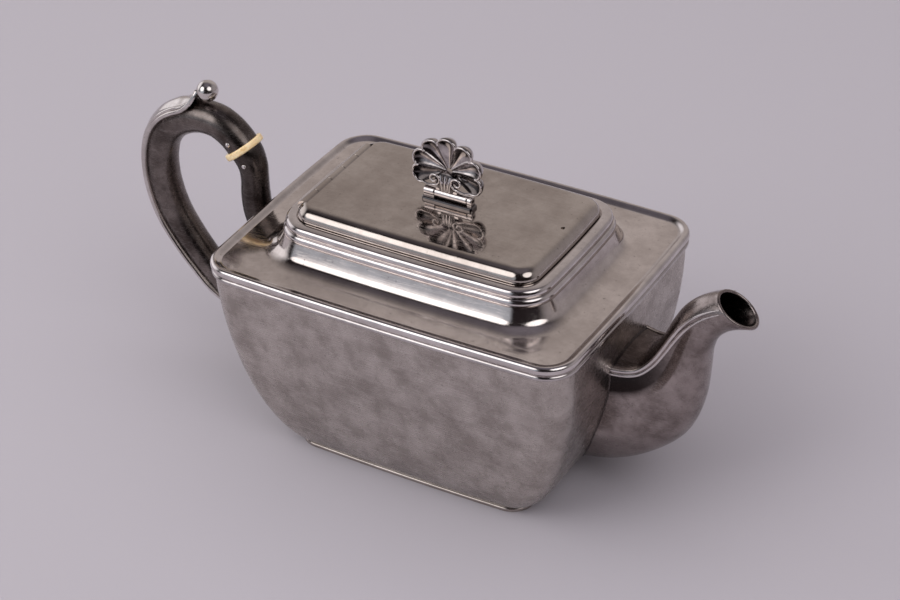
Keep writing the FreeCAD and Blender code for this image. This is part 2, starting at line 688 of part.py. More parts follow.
finial_knuckle = finial_knuckle.cut(finial_rod(FINIAL_PIN_R + PIN_FIT, BARREL[0], BARREL[3]))

body_leaf = Part.makeCompound([k.cut(pin_line) for k in body_hinge])
lid_leaf = Part.makeCompound([k.cut(loose_line) for k in lid_hinge])

save("body_wall", body_wall)
save("base_plate", base_plate)
save("foot_rim", foot_rim)
save("shoulder_plate", shoulder_plate)
save("rim_moulding", rim_moulding)
save("collar_reeding", collar_reeding)
save("spout_shell", spout_shell)
save("spout_reed_near", reeds["near"])
save("spout_reed_far", reeds["far"])
save("strainer_plate", strainer_plate)
save("upper_handle_socket", upper_handle_socket)
save("lower_handle_socket", lower_handle_socket)
save("upper_insulator", upper_insulator)
save("lower_insulator", lower_insulator)
for name, pin in pins.items():
    save(name, pin)
save("handle_grip", handle_grip)
save("handle_strap", handle_strap)
save("thumb_piece", thumb_piece)
for i, k in enumerate(body_leaf.Solids):
    save("body_hinge_knuckle_" + str(i + 1), k)
save("lid_hinge_pin", pin_line)
save("lid_panel", lid_panel)
save("lid_bezel", lid_bezel)
for i, k in enumerate(lid_leaf.Solids):
    save("lid_hinge_knuckle_" + str(i + 1), k)
save("finial_base", finial_base)
save("finial_nut", finial_nut)
save("finial_shell", finial_shell)
save("finial_knuckle", finial_knuckle)
save("finial_pin", finial_pin)
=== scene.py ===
import math

import bmesh
import bpy
from mathutils import Matrix, Vector


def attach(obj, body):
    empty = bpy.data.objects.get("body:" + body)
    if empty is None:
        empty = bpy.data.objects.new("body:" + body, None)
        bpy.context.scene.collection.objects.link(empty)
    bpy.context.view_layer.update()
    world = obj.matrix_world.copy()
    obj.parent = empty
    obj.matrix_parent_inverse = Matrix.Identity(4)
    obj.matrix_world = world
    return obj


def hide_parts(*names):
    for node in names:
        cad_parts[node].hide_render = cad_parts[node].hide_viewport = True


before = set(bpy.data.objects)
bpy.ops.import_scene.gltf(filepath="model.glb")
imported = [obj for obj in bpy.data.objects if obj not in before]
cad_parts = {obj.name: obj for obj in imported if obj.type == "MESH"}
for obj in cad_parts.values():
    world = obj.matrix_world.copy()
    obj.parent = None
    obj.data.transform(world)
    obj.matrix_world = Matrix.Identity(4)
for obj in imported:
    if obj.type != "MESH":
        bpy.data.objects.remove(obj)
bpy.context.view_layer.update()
MM = 0.001
# edges sharper than this many degrees stay crisp
CREASE = 38.0
MOULDING_CREASE = 34.0

# vessel plan and height, in millimetres
RIM_HALF = (74.5, 53.2)
RIM_BOW = (1.35, 1.1)
CORNER_R = 11.0
FOOT_INSET = (24.8, 13.6)
FOOT_CORNER_R = 8.6
# curve of the wall from rim to foot, and the rows it is drawn with
CURVE_POWER = 1.8
CURVE_END = 0.98
FOOT_BOW = 0.7
WALL_ROWS = 44
INNER_ROWS = 20
ROW_CROWD = 1.6
# wall thickness and foot band
SHEET = 1.2
FOOT_H = 2.0
FOOT_BAND = 3.0
FOOT_LIP = 0.4
FOOT_FLAT_IN = 0.25
# foot band's bead as half width and half height, its groove and fillet as (in from the lip, up)
FOOT_BEAD = (0.3, 0.75)
FOOT_GROOVE = (0.42, 1.58)
FOOT_FILLET = (0.4, 1.8)
FOOT_FILLET_R = 0.2
# share of painted shade on the foot band's fillet and upper band
FOOT_SHADE = 0.55
SHOULDER_Z = 80.6
WALL_TOP = SHOULDER_Z - SHEET
# top bead and lower reed of the rim: how far each stands out, and half its height
RIM_BEAD = (1.39, 1.7)
RIM_REED = (1.15, 1.15)
RIM_BEAD_DROP = 0.5
RIM_FALL = 3.0
RIM_GAP = 0.15
RIM_GROOVE = 0.15
RIM_SINK = 0.2
RIM_ROOT = 0.3
# share of painted shade on the rim's lower reed
RIM_REED_SHADE = 0.2

# collar and lid
LID_HALF = (50.3, 29.6)
LID_BOW = (0.9, 0.9)
LID_CORNER_R = 8.0
COLLAR_H = 13.8
COVE_OUT = 5.4
# sweep from the reeds down to the flat: length, lean at its start and at its end in degrees, steps
SWEEP = ((4.4, 66.0, 62.0, 4), (3.2, 62.0, 26.0, 12), (4.2, 26.0, 6.0, 10), (6.2, 6.0, 2.0, 4))
COLLAR_OUT = 2.7
COLLAR_EDGE = 3.4
BEAD_SHARE = 0.47
BEAD_PROUD = 0.65
BEAD_SPAN = 80
COLLAR_SINK = 0.3
COLLAR_SOFT = 0.15
# share of painted shade in the collar's grooves
GROOVE_SHADE = 0.9
STEP_DROP = 0.9
LEDGE_IN = 3.5
LID_GAP = 0.3
LID_ROLL = 4.6
LID_RISE = 4.8
STEP_Z = SHOULDER_Z + COLLAR_H
LEDGE_Z = STEP_Z - STEP_DROP - LID_GAP
LID_Z = STEP_Z - STEP_DROP
LID_TOP = STEP_Z + LID_RISE
VENT = (45.1, 3.6)
VENT_R = 0.8
LID_CREASE = 40.0

# lid hinge
HINGE_R = 2.2
HINGE_HALF = 22.5
HINGE_KNUCKLES = 5
HINGE_CLEAR = 0.25
# how far behind the pin the foot of a fixed knuckle begins and ends
HINGE_FOOT = (1.5, 0.5)
KNUCKLE_GAP = 0.1
HINGE_X = -(LID_HALF[0] - HINGE_R)
HINGE_Z = STEP_Z + HINGE_R

# spout
SPOUT_SHEET = 1.2
# each reed of a pair: drop below the border, how far it stands proud, radius
REED_PAIR = ((-0.35, 0.1, 0.85), (1.5, 0.0, 0.8))
SEAM_R = 0.45
SEAM_DARK = 0.72
# steps over which a reed fades towards the lip, and the share left at its tip
REED_FADE = 34
REED_TIP = 0.12
LIP_HEEL = (107.4, 93.8)
LIP_TIP = (122.6, 83.6)
# spout stations: bottom, border and crown points, border half width, belly half width, waist depth
STATIONS = [
    ((53.0, 5.2), (66.0, 59.6), (66.6, 62.4), 14.9, 14.0, 0.8),
    ((70.0, 9.6), (74.4, 58.0), (75.2, 60.8), 13.8, 13.6, 1.0),
    ((85.8, 18.9), (81.8, 59.0), (81.2, 62.2), 11.9, 12.7, 1.2),
    ((96.6, 29.8), (87.0, 63.6), (85.4, 67.2), 10.0, 11.4, 1.2),
    ((102.0, 42.5), (90.4, 69.0), (88.4, 72.8), 8.7, 10.0, 1.1),
    ((104.0, 56.5), (93.4, 74.4), (91.2, 78.2), 7.9, 8.9, 0.9),
    ((105.2, 67.6), (96.7, 79.6), (94.4, 83.4), 7.5, 8.1, 0.7),
    ((108.0, 75.0), (100.8, 84.2), (98.4, 87.8), 7.2, 7.5, 0.4),
    ((113.0, 80.0), (106.0, 88.2), (103.6, 91.6), 6.9, 7.2, 0.1),
    ((119.8, 82.8), (113.0, 91.6), (110.8, 94.8), 6.5, 7.0, -0.1),
    ((128.0, 84.0), (121.6, 93.8), (119.4, 97.2), 6.0, 6.8, -0.2),
]
# how far each station is drawn to a plain oval
OVAL = (0.0, 0.0, 0.0, 0.0, 0.0, 0.1, 0.3, 0.65, 0.95, 1.0, 1.0)
# opening in the end wall behind the spout, and the patch of wall it is cut from
WINDOW_HALF = 9.0
WINDOW_Z = (18.0, 50.0)
WINDOW_FROM = 54.0
WINDOW_REACH = 16.0
ROOT_REACH = 4.0

# handle centre line from the upper ring round to the lower ring, with bar radius
RING_AT = Vector((-89.0, 0.0, 98.4))
LEAN = Vector((-0.6, 0.0, 0.8)).normalized()
LOW_RING_AT = Vector((-88.6, 0.0, 23.4))
LOW_LEAN = Vector((0.97, 0.0, -0.243)).normalized()
RING_R = 8.0
LOW_RING_R = 7.0
RING_T = 2.0
RING_SHOWN = 2.5
RING_SOFT = 0.55
BAR_STEPS = 10
BAR_SIDES = 56
GRIP_END_R = 6.4
LOW_GRIP_END_R = 5.5
SOCKET_END_R = 6.2
LOW_SOCKET_END_R = 5.5
GRIP = [
    (-94.0, 103.9, 6.45),
    (-99.2, 106.8, 6.5),
    (-106.5, 107.4, 6.5),
    (-113.8, 105.4, 6.45),
    (-120.4, 101.4, 6.4),
    (-125.2, 95.8, 6.35),
    (-128.2, 88.0, 6.3),
    (-129.2, 78.5, 6.3),
    (-128.2, 69.5, 6.25),
    (-125.2, 60.0, 6.15),
    (-120.2, 51.3, 6.0),
    (-113.8, 42.6, 5.8),
    (-106.7, 34.4, 5.6),
    (-98.9, 27.8, 5.5),
]
SOCKET = [
    (-66.0, 57.6, 8.0),
    (-75.0, 59.6, 7.2),
    (-81.8, 64.4, 6.3),
    (-85.2, 71.6, 5.8),
    (-85.8, 79.6, 5.6),
    (-85.5, 86.2, 5.4),
    (-85.8, 91.6, 5.7),
]
LOW_SOCKET = [
    (-76.0, 21.0, 5.7),
    (-66.0, 20.6, 6.6),
    (-56.0, 20.6, 7.6),
]
STRAP_FIRST = 3
BALL_AT = Vector((-103.4, 0.0, 119.2))
BALL_R = 4.2
# lifted end of the strap: x, z, outward lean (x, z), half width, how far it hugs the grip
THUMB = [
    (-113.4, 113.9, -0.40, 0.92, 7.4, 0.9),
    (-110.8, 115.0, -0.58, 0.81, 6.4, 0.6),
    (-108.8, 116.6, -0.82, 0.57, 5.2, 0.3),
    (-107.6, 118.4, -0.96, 0.28, 4.2, 0.1),
    (-106.9, 120.0, -0.95, 0.30, 3.2, 0.0),
]
PIN_HEAD_R = 1.0
PIN_FLAT = 0.7
# share of painted shade on the handle's socket bars
SOCKET_SHADE = 0.5
RING_HOLE = 3.0

# finial
FINIAL_Z = LID_TOP + 3.3
FINIAL_BARREL_R = 1.7
FINIAL_LEAN = 4.0
BARREL = (-9.3, -4.8, 8.6, 10.6)
SHELL_LOBES = 7
SHELL_FAN = 105.0
SHELL_REACH = 13.8
SHELL_BACK = 5.5
SHELL_RISE = 8.9
SHELL_FACE = -0.6
SHELL_EDGE = 0.9
SHELL_ROOT_R = 1.2
SHELL_DISH = 2.0
SHELL_LEAST = 0.5
NOTCH_R = 11.2
FLUTE_DEPTH = 1.9
VOLUTE_R = 2.5
VOLUTE_AT = (4.3, 6.0)
VOLUTE_TURNS = 1.3
VOLUTE_START = -100
VOLUTE_CLOSE = 0.74
VOLUTE_PROUD = 0.9
RIM_WIRE_R = 0.45
RIM_WIRE_IN = 0.5
RIM_WIRE_SINK = 0.1
RIM_WIRE_SAG = 0.5
STEM_REEDS = 3
STEM_R = 0.55
STEM_SWELL = 0.12
# stem reed from its foot up: half spread of the reeds, how far it stands out, height over the barrel's line
STEM_LINE = ((1.25, 0.45, 1.5), (1.25, 0.75, 3.8), (1.45, 0.75, 5.8), (1.95, 0.3, 7.8))
# boss behind the reeds, from front to back: depth, how far the edge is drawn in
BOSS_ROWS = ((SHELL_FACE - 0.5, 0.5), (SHELL_FACE - 0.1, 0.0), (1.6, 0.0))
BOSS_FOOT = (2.6, 1.2)
BOSS_HEAD = (4.4, 3.5)
BOSS_HEAD_UP = 5.4
BOSS_FRONT = SHELL_FACE + 0.3
# share of painted shade on the boss's front face
BOSS_SHADE = 0.8
# neck between barrel and shell, corner to corner, with heights over the barrel's line
NECK = ((-4.2, -0.8, 0.9), (4.4, 1.1, 2.4))
FINIAL_PLATE = (21.4, 4.6, 1.3)
PLATE_ROUND = 1.2
PLATE_BOW = (0.05, 0.05)
# plate's softened top edge: how far it grows, share of the plate's height
PLATE_EDGE = ((0.0, 0.0), (0.0, 0.55), (-0.18, 0.85), (-0.5, 1.0))
STAND_HALF = 1.3
STAND_IN = 0.1
# share of painted shade on the finial plate below the barrel
PLATE_SHADE = 0.72
SHELL_WIDEN = 1.09
SHELL_SHADE = 0.8
SHADE_RISE = 4.0
PLATE_SHIFT = 0.6

# view of the photograph
VIEW_AZIMUTH = 32.25
VIEW_ELEVATION = 34.8
VIEW_ROLL = -3.1
VIEW_DISTANCE = 898.0
VIEW_TARGET = (0.0, 0.0, 45.0)
VIEW_SHIFT = (-1.64, 9.3)
FOCAL_PIXELS = 2410.0
IMAGE_WIDTH = 900.0
SENSOR = 36.0


# sRGB hex to linear colour
def tint(code):
    out = []
    for i in (1, 3, 5):
        c = int(code[i:i + 2], 16) / 255
        out.append(c / 12.92 if c <= 0.04045 else ((c + 0.055) / 1.055) ** 2.4)
    return (*out, 1.0)


# adds a node with its settings, values and links; i0, i1 and so on are inputs by number
def add(tree, kind, settings=None, **inputs):
    node = tree.nodes.new(kind)
    for key, value in (settings or {}).items():
        setattr(node, key, value)
    for key, value in inputs.items():
        socket = node.inputs[int(key[1:])] if key[0] == "i" and key[1:].isdigit() else node.inputs[key]
        if isinstance(value, bpy.types.NodeSocket):
            tree.links.new(value, socket)
        else:
            socket.default_value = value
    return node


# materials

MOTTLE_MM = 5.0
MOTTLE_SHARE = 0.45
SPECK_MM = 1.1
WAVE_MM = 22.0
GRAIN_MM = 1.2
# polishing hairlines, drawn coarser than real ones so that they show: turn, stretch, width in millimetres
HAIRLINES = ((0.35, 26.0, 1.4), (-0.6, 34.0, 1.9))
HAIR_SHARE = 0.012
HAIR_ROUGH = 0.12
HAIR_DEEP_MM = 0.012


# new material with its nodes, its shader and the place on the object
def new_finish(name):
    mat = bpy.data.materials.new(name)
    mat.use_nodes = True
    tree = mat.node_tree
    return mat, tree, tree.nodes["Principled BSDF"], add(tree, "ShaderNodeTexCoord").outputs["Object"]


# Old sterling silver, raised by hand and polished for years: a mirror dulled by grey-brown tarnish clouds,
# fine polishing hairlines and dark specks.
def silver(name, bright, stain, cloud_mm, rough, wave_mm=0.03, cloud_mix=0.75, scratch=0.1):
    mat, tree, shader, place = new_finish(name)
    cloud = add(tree, "ShaderNodeTexNoise",
                Vector=place, Scale=1 / (cloud_mm * MM), Detail=6.0, Roughness=0.62)
    mottle = add(tree, "ShaderNodeTexNoise",
                 Vector=place, Scale=1 / (MOTTLE_MM * MM), Detail=7.0, Roughness=0.7)
    both = add(tree, "ShaderNodeMath", {"operation": "MULTIPLY_ADD"},
               i0=mottle.outputs["Fac"], i1=MOTTLE_SHARE, i2=cloud.outputs["Fac"])
    share = add(tree, "ShaderNodeMapRange", {"interpolation_type": "SMOOTHSTEP"},
                Value=both.outputs[0], **{"From Min": 0.5, "From Max": 0.95, "To Max": cloud_mix})
    body = add(tree, "ShaderNodeMix", {"data_type": "RGBA"},
               Factor=share.outputs[0], i6=tint(bright), i7=tint(stain))

    hairs = []
    for turn, stretch, width in HAIRLINES:
        lay = add(tree, "ShaderNodeMapping",
                  Vector=place, Rotation=(turn, turn * 0.8, turn), Scale=(1.0, stretch, stretch))
        grain = add(tree, "ShaderNodeTexNoise",
                    Vector=lay.outputs[0], Scale=1 / (width * stretch * MM), Detail=2.0)
        off = add(tree, "ShaderNodeMath", {"operation": "SUBTRACT"}, i0=grain.outputs["Fac"], i1=0.5)
        far = add(tree, "ShaderNodeMath", {"operation": "ABSOLUTE"}, i0=off.outputs[0])
        thin = add(tree, "ShaderNodeMapRange",
                   Value=far.outputs[0], **{"From Max": HAIR_SHARE, "To Min": 1.0, "To Max": 0.0})
        hairs.append(thin.outputs[0])
    hair = add(tree, "ShaderNodeMath", {"operation": "MAXIMUM"}, i0=hairs[0], i1=hairs[1]).outputs[0]

    speck = add(tree, "ShaderNodeTexNoise", Vector=place, Scale=1 / (SPECK_MM * MM), Detail=2.0)
    pits = add(tree, "ShaderNodeMapRange",
               Value=speck.outputs["Fac"], **{"From Min": 0.68, "From Max": 0.78, "To Max": 0.55})
    line = add(tree, "ShaderNodeMath", {"operation": "MULTIPLY"}, i0=hair, i1=scratch)
    # near-black painted shade, with some tarnish, in grooves, creases and under parts, from a share held by
    # each vertex
    shade_and_tarnish_share = add(tree, "ShaderNodeAttribute", {"attribute_name": "shade_and_tarnish"})
    colour = body.outputs[2]
    for cover, code in (
        (pits.outputs[0], "#4A4240"),
        (line.outputs[0], "#EDE8E4"),
        (shade_and_tarnish_share.outputs["Fac"], "#1F1918"),
    ):
        coat = add(tree, "ShaderNodeMix", {"data_type": "RGBA"}, Factor=cover, i6=colour, i7=tint(code))
        colour = coat.outputs[2]
    tree.links.new(colour, shader.inputs["Base Color"])

    rub = add(tree, "ShaderNodeMapRange", Value=mottle.outputs["Fac"],
              **{"From Min": 0.3, "From Max": 0.75, "To Min": rough[0], "To Max": rough[1]})
    dull = add(tree, "ShaderNodeMath", {"operation": "MULTIPLY_ADD"},
               i0=hair, i1=HAIR_ROUGH, i2=rub.outputs[0])
    tree.links.new(dull.outputs[0], shader.inputs["Roughness"])
    shader.inputs["Metallic"].default_value = 1.0

    wave = add(tree, "ShaderNodeTexNoise", Vector=place, Scale=1 / (WAVE_MM * MM), Detail=1.5)
    soft = add(tree, "ShaderNodeBump", Height=wave.outputs["Fac"], Strength=1.0, Distance=wave_mm * MM)
    fine = add(tree, "ShaderNodeBump",
               Height=hair, Strength=0.25, Distance=HAIR_DEEP_MM * MM, Normal=soft.outputs[0])
    tree.links.new(fine.outputs[0], shader.inputs["Normal"])
    return mat


# Old ivory, turned and polished: warm cream with faint streaks along the grain and a soft gloss.
def ivory():
    mat, tree, shader, place = new_finish("turned_ivory")
    lay = add(tree, "ShaderNodeMapping", Vector=place, Scale=(1.0, 0.25, 1.0))
    grain = add(tree, "ShaderNodeTexNoise", Vector=lay.outputs[0], Scale=1 / (GRAIN_MM * MM), Detail=5.0)
    share = add(tree, "ShaderNodeMapRange",
                Value=grain.outputs["Fac"], **{"From Min": 0.35, "From Max": 0.75})
    body = add(tree, "ShaderNodeMix", {"data_type": "RGBA"},
               Factor=share.outputs[0], i6=tint("#F3DDB2"), i7=tint("#DDBA84"))
    tree.links.new(body.outputs[2], shader.inputs["Base Color"])
    shader.inputs["Roughness"].default_value = 0.32
    shader.inputs["Subsurface Weight"].default_value = 0.12
    shader.inputs["Subsurface Radius"].default_value = (0.002, 0.0012, 0.0007)
    ridge = add(tree, "ShaderNodeBump", Height=grain.outputs["Fac"], Strength=0.3, Distance=0.05 * MM)
    tree.links.new(ridge.outputs[0], shader.inputs["Normal"])
    return mat


TOP_SILVER = silver("silver_polished", "#C4BBB4", "#9C918A", 30.0, (0.05, 0.11), 0.02)
WALL_SILVER = silver("silver_tarnished", "#C4BCB6", "#877E78", 13.0, (0.19, 0.34), 0.03, 0.7, 0.12)
# lighter copy of the silver for the shoulder plate: painted light for its brighter reflection
SHOULDER_SILVER = silver("silver_shoulder", "#DCD3CE", "#B4AAA5", 22.0, (0.07, 0.14), 0.015)
# darker, browner copy of the silver for the spout
SPOUT_SILVER = silver("silver_spout_dark_brown", "#A39895", "#6B605D", 20.0, (0.14, 0.28), 0.03, 0.85)
EDGE_SILVER = silver("silver_rubbed_bright", "#DDD6D4", "#A39A98", 18.0, (0.06, 0.16), 0.012, 0.5)
# darker copy of the silver for the handle: painted shade for its dark reflections
HANDLE_SILVER = silver("silver_handle_painted_dark", "#7C736F", "#3C3431", 14.0, (0.2, 0.34), 0.02, 0.85)
# lighter copy of the silver for the strap: painted light for the bright reflections along its edges
STRAP_SILVER = silver("silver_strap", "#DDD7D4", "#A29995", 14.0, (0.08, 0.18), 0.012, 0.6)
SHELL_SILVER = silver("silver_cast_shell", "#CFC7C5", "#5F5654", 5.0, (0.07, 0.16), 0.008, 0.7)
IVORY = ivory()


# mesh helpers

# closed plan with four bowed sides and round corners, from the middle of the +X side
def plan(half, bow, r, grow=0.0, counts=(14, 14, 20)):
    big_l = (half[0] ** 2 + bow[0] ** 2) / (2 * bow[0])
    big_w = (half[1] ** 2 + bow[1] ** 2) / (2 * bow[1])
    long_c = Vector((0.0, half[1] - big_l))
    end_c = Vector((half[0] - big_w, 0.0))
    da = big_l - r
    db = big_w - r
    gap = end_c - long_c
    d = gap.length
    along = (da ** 2 - db ** 2 + d ** 2) / (2 * d)
    side = math.sqrt(da ** 2 - along ** 2)
    u = gap / d
    corner = long_c + u * along + Vector((u.y, -u.x)) * side
    a1 = math.atan2(corner.y - end_c.y, corner.x - end_c.x)
    a2 = math.atan2(corner.y - long_c.y, corner.x - long_c.x)
    quarter = []
    for centre, radius, start, stop, n in (
        (end_c, big_w + grow, 0.0, a1, counts[0]),
        (corner, r + grow, a1, a2, counts[1]),
        (long_c, big_l + grow, a2, math.pi / 2, counts[2]),
    ):
        for i in range(n):
            a = start + (stop - start) * i / n
            quarter.append((centre.x + radius * math.cos(a), centre.y + radius * math.sin(a)))
    last = (0.0, half[1] + grow)
    right = quarter + [last]
    ring = right[:-1]
    ring += [(-x, y) for x, y in reversed(right)][:-1]
    ring += [(-x, -y) for x, y in right][:-1]
    ring += [(x, -y) for x, y in reversed(right)][:-1]
    return ring


def level(ring, z):
    return [Vector((x, y, z)) for x, y in ring]


def rim_plan(grow=0.0):
    return plan(RIM_HALF, RIM_BOW, CORNER_R, grow)


def lid_plan(grow=0.0):
    return plan(LID_HALF, LID_BOW, LID_CORNER_R, grow)


# finished object from vertices in millimetres and faces
def piece(name, verts, faces, material, crease=CREASE):
    mesh = bpy.data.meshes.new(name)
    mesh.from_pydata([Vector(v) * MM for v in verts], [], faces)
    return finish_mesh(name, mesh, material, crease)


# merges doubles, turns faces outwards, sets the finish and keeps crisp edges
def finish_mesh(name, mesh, material, crease=CREASE):
    work = bmesh.new()
    work.from_mesh(mesh)
    bmesh.ops.remove_doubles(work, verts=work.verts, dist=0.002 * MM)
    bmesh.ops.recalc_face_normals(work, faces=work.faces)
    work.to_mesh(mesh)
    work.free()
    mesh.materials.clear()
    mesh.materials.append(material)
    mesh.polygons.foreach_set("use_smooth", [True] * len(mesh.polygons))
    mesh.set_sharp_from_angle(angle=math.radians(crease))
    obj = bpy.data.objects.new(name, mesh)
    bpy.context.scene.collection.objects.link(obj)
    return obj


# quads between rings of equal count; the rows join end to end when closed
def loft(rings, closed=False):
    n = len(rings[0])
    verts = [p for ring in rings for p in ring]
    faces = []
    rows = len(rings)
    for r in range(rows if closed else rows - 1):
        s = (r + 1) % rows
        for i in range(n):
            j = (i + 1) % n
            faces.append((r * n + i, r * n + j, s * n + j, s * n + i))
    return verts, faces


# smooth line through points, with the same count of even steps between each two
def smooth(points, per_span, ends=None):
    pts = [Vector(p) for p in points]
    steps = [max((pts[i + 1] - pts[i]).length, 1e-6) for i in range(len(pts) - 1)]
    slopes = []
    for i in range(len(pts)):
        if i == 0:
            slopes.append((pts[1] - pts[0]) / steps[0])
        elif i == len(pts) - 1:
            slopes.append((pts[-1] - pts[-2]) / steps[-1])
        else:
            a = (pts[i] - pts[i - 1]) / steps[i - 1]
            b = (pts[i + 1] - pts[i]) / steps[i]
            slopes.append((a * steps[i] + b * steps[i - 1]) / (steps[i] + steps[i - 1]))
    if ends:
        for k, end in ((0, ends[0]), (-1, ends[1])):
            if end is not None:
                slopes[k] = end
    out = []
    for i in range(len(pts) - 1):
        h = steps[i]
        for k in range(per_span):
            t = k / per_span
            a = 2 * t ** 3 - 3 * t ** 2 + 1
            b = t ** 3 - 2 * t ** 2 + t
            c = -2 * t ** 3 + 3 * t ** 2
            d = t ** 3 - t ** 2
            out.append(pts[i] * a + slopes[i] * (b * h) + pts[i + 1] * c + slopes[i + 1] * (d * h))
    out.append(pts[-1])
    return out


# a piece joins the part: it rides its body and stands for its nodes
def settle(obj, body, slot, *nodes):
    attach(obj, body)
    if nodes:
        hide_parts(*nodes)


# vessel

# how far the wall is drawn in, as a share, at a share of the way down
def vessel_share(t):
    full = 1 - (1 - CURVE_END) ** (1 / CURVE_POWER)
    return (1 - (1 - CURVE_END * t ** CURVE_POWER) ** (1 / CURVE_POWER)) / full


def vessel_ring(t, thin, bottom):
    k = vessel_share(t)
    half = (RIM_HALF[0] - FOOT_INSET[0] * k, RIM_HALF[1] - FOOT_INSET[1] * k)
    r = CORNER_R + (FOOT_CORNER_R - CORNER_R) * t
    soft = 1 - (1 - FOOT_BOW) * t
    bow = (RIM_BOW[0] * soft, RIM_BOW[1] * soft)
    return level(plan(half, bow, r, -thin), WALL_TOP + (bottom - WALL_TOP) * t)


# x of the outer end wall at height z and distance y from the middle
def wall_x(y, z):
    t = (WALL_TOP - z) / (WALL_TOP - FOOT_H)
    t = min(max(t, 0.0), 1.0)
    k = vessel_share(t)
    half_w = RIM_HALF[1] - FOOT_INSET[1] * k
    bow = RIM_BOW[1] * (1 - (1 - FOOT_BOW) * t)
    big = (half_w ** 2 + bow ** 2) / (2 * bow)
    return RIM_HALF[0] - FOOT_INSET[0] * k - big + math.sqrt(big ** 2 - y ** 2)


# shares of the way down the wall, closer together near the foot
def wall_rows(count):
    return [1 - (1 - i / count) ** ROW_CROWD for i in range(count + 1)]


# double wall with a window behind the spout
def body_wall():
    rings = [vessel_ring(t, 0.0, FOOT_H) for t in wall_rows(WALL_ROWS)]
    rings.append(level(foot_plan(-SHEET), FOOT_H))
    inner = [vessel_ring(t, SHEET, FOOT_H + SHEET) for t in wall_rows(INNER_ROWS)]
    rings += list(reversed(inner))
    verts, faces = loft(rings, closed=True)
    mesh = bpy.data.meshes.new("body_wall_mesh")
    mesh.from_pydata([v * MM for v in verts], [], faces)
    work = bmesh.new()
    work.from_mesh(mesh)
    cuts = (
        ((0, WINDOW_HALF, 0), (0, 1, 0)),
        ((0, -WINDOW_HALF, 0), (0, 1, 0)),
        ((0, 0, WINDOW_Z[0]), (0, 0, 1)),
        ((0, 0, WINDOW_Z[1]), (0, 0, 1)),
    )
    for at, normal in cuts:
        near = []
        for f in work.faces:
            if all(v.co.x > WINDOW_FROM * MM and abs(v.co.y) < WINDOW_REACH * MM for v in f.verts):
                near.append(f)
        edges = {e for f in near for e in f.edges}
        corners = {v for f in near for v in f.verts}
        bmesh.ops.bisect_plane(work, geom=list(near) + list(edges) + list(corners), dist=1e-7,
                               plane_co=Vector(at) * MM, plane_no=normal)
    gone = []
    for f in work.faces:
        c = f.calc_center_median() / MM
        if c.x > WINDOW_FROM and abs(c.y) < WINDOW_HALF and WINDOW_Z[0] < c.z < WINDOW_Z[1]:
            gone.append(f)
    bmesh.ops.delete(work, geom=gone, context="FACES")
    bmesh.ops.bridge_loops(work, edges=[e for e in work.edges if e.is_boundary])
    work.to_mesh(mesh)
    work.free()
    obj = finish_mesh("vessel_wall", mesh, WALL_SILVER, crease=50.0)
    settle(obj, "body", "silver", "body_wall")


def foot_plan(grow):
    half = (RIM_HALF[0] - FOOT_INSET[0], RIM_HALF[1] - FOOT_INSET[1])
    return plan(half, (RIM_BOW[0] * FOOT_BOW, RIM_BOW[1] * FOOT_BOW), FOOT_CORNER_R, grow)


# painted shade in grooves, creases and under parts, with tarnish where polishing can't reach, as a share
# for every vertex
def set_shade_and_tarnish(mesh, shares):
    layer = mesh.attributes.new("shade_and_tarnish", "FLOAT", "POINT")
    layer.data.foreach_set("value", shares)


# profile points (out, up) carried round a plan, with a share of painted shade and tarnish for each point
def moulding(name, plan_of, profile, material, dark):
    rings = [level(plan_of(out), up) for out, up in profile]
    verts, faces = loft(rings, closed=True)
    mesh = bpy.data.meshes.new(name)
    mesh.from_pydata([v * MM for v in verts], [], faces)
    set_shade_and_tarnish(mesh, [share for share in dark for _ in rings[0]])
    return finish_mesh(name, mesh, material, MOULDING_CREASE)


# points of a round or oval arc, with its ends in degrees
def arc(centre, radius, start, stop, n):
    out = []
    for i in range(n + 1):
        a = math.radians(start + (stop - start) * i / n)
        out.append((centre[0] + radius[0] * math.cos(a), centre[1] + radius[1] * math.sin(a)))
    return out


def foot_rim():
    profile = [(-FOOT_BAND, 0.0), (FOOT_LIP - FOOT_FLAT_IN, 0.0)]
    profile += arc((FOOT_LIP - FOOT_BEAD[0], FOOT_BEAD[1]), FOOT_BEAD, -90, 80, 10)
    dark = [0.0] * len(profile)
    # painted shade in the groove above the bead, and lighter painted shade on the fillet and the band above
    # it
    profile += [(FOOT_LIP - FOOT_GROOVE[0], FOOT_GROOVE[1])]
    dark += [1.0]
    fillet = (FOOT_FILLET_R, FOOT_FILLET_R)
    profile += arc((FOOT_LIP - FOOT_FILLET[0], FOOT_FILLET[1]), fillet, -60, 90, 6)
    profile += [(-FOOT_FILLET_R, FOOT_H), (-FOOT_BAND, FOOT_H)]
    dark += [FOOT_SHADE] * (len(profile) - len(dark))
    obj = moulding("foot_band", foot_plan, profile, TOP_SILVER, dark)
    settle(obj, "body", "silver", "foot_rim")


# points (out, up) of the shoulder's sweep, from the flat in to the foot of the reeds
def sweep_line():
    out = COVE_OUT
    up = 0.0
    line = [(out, up)]
    for length, start, stop, steps in SWEEP:
        for i in range(steps):
            lean = math.radians(start + (stop - start) * (i + 0.5) / steps)
            out += length / steps * math.cos(lean)
            up -= length / steps * math.sin(lean)
            line.append((out, up))
    return [(a, b - up + SHOULDER_Z) for a, b in reversed(line)]


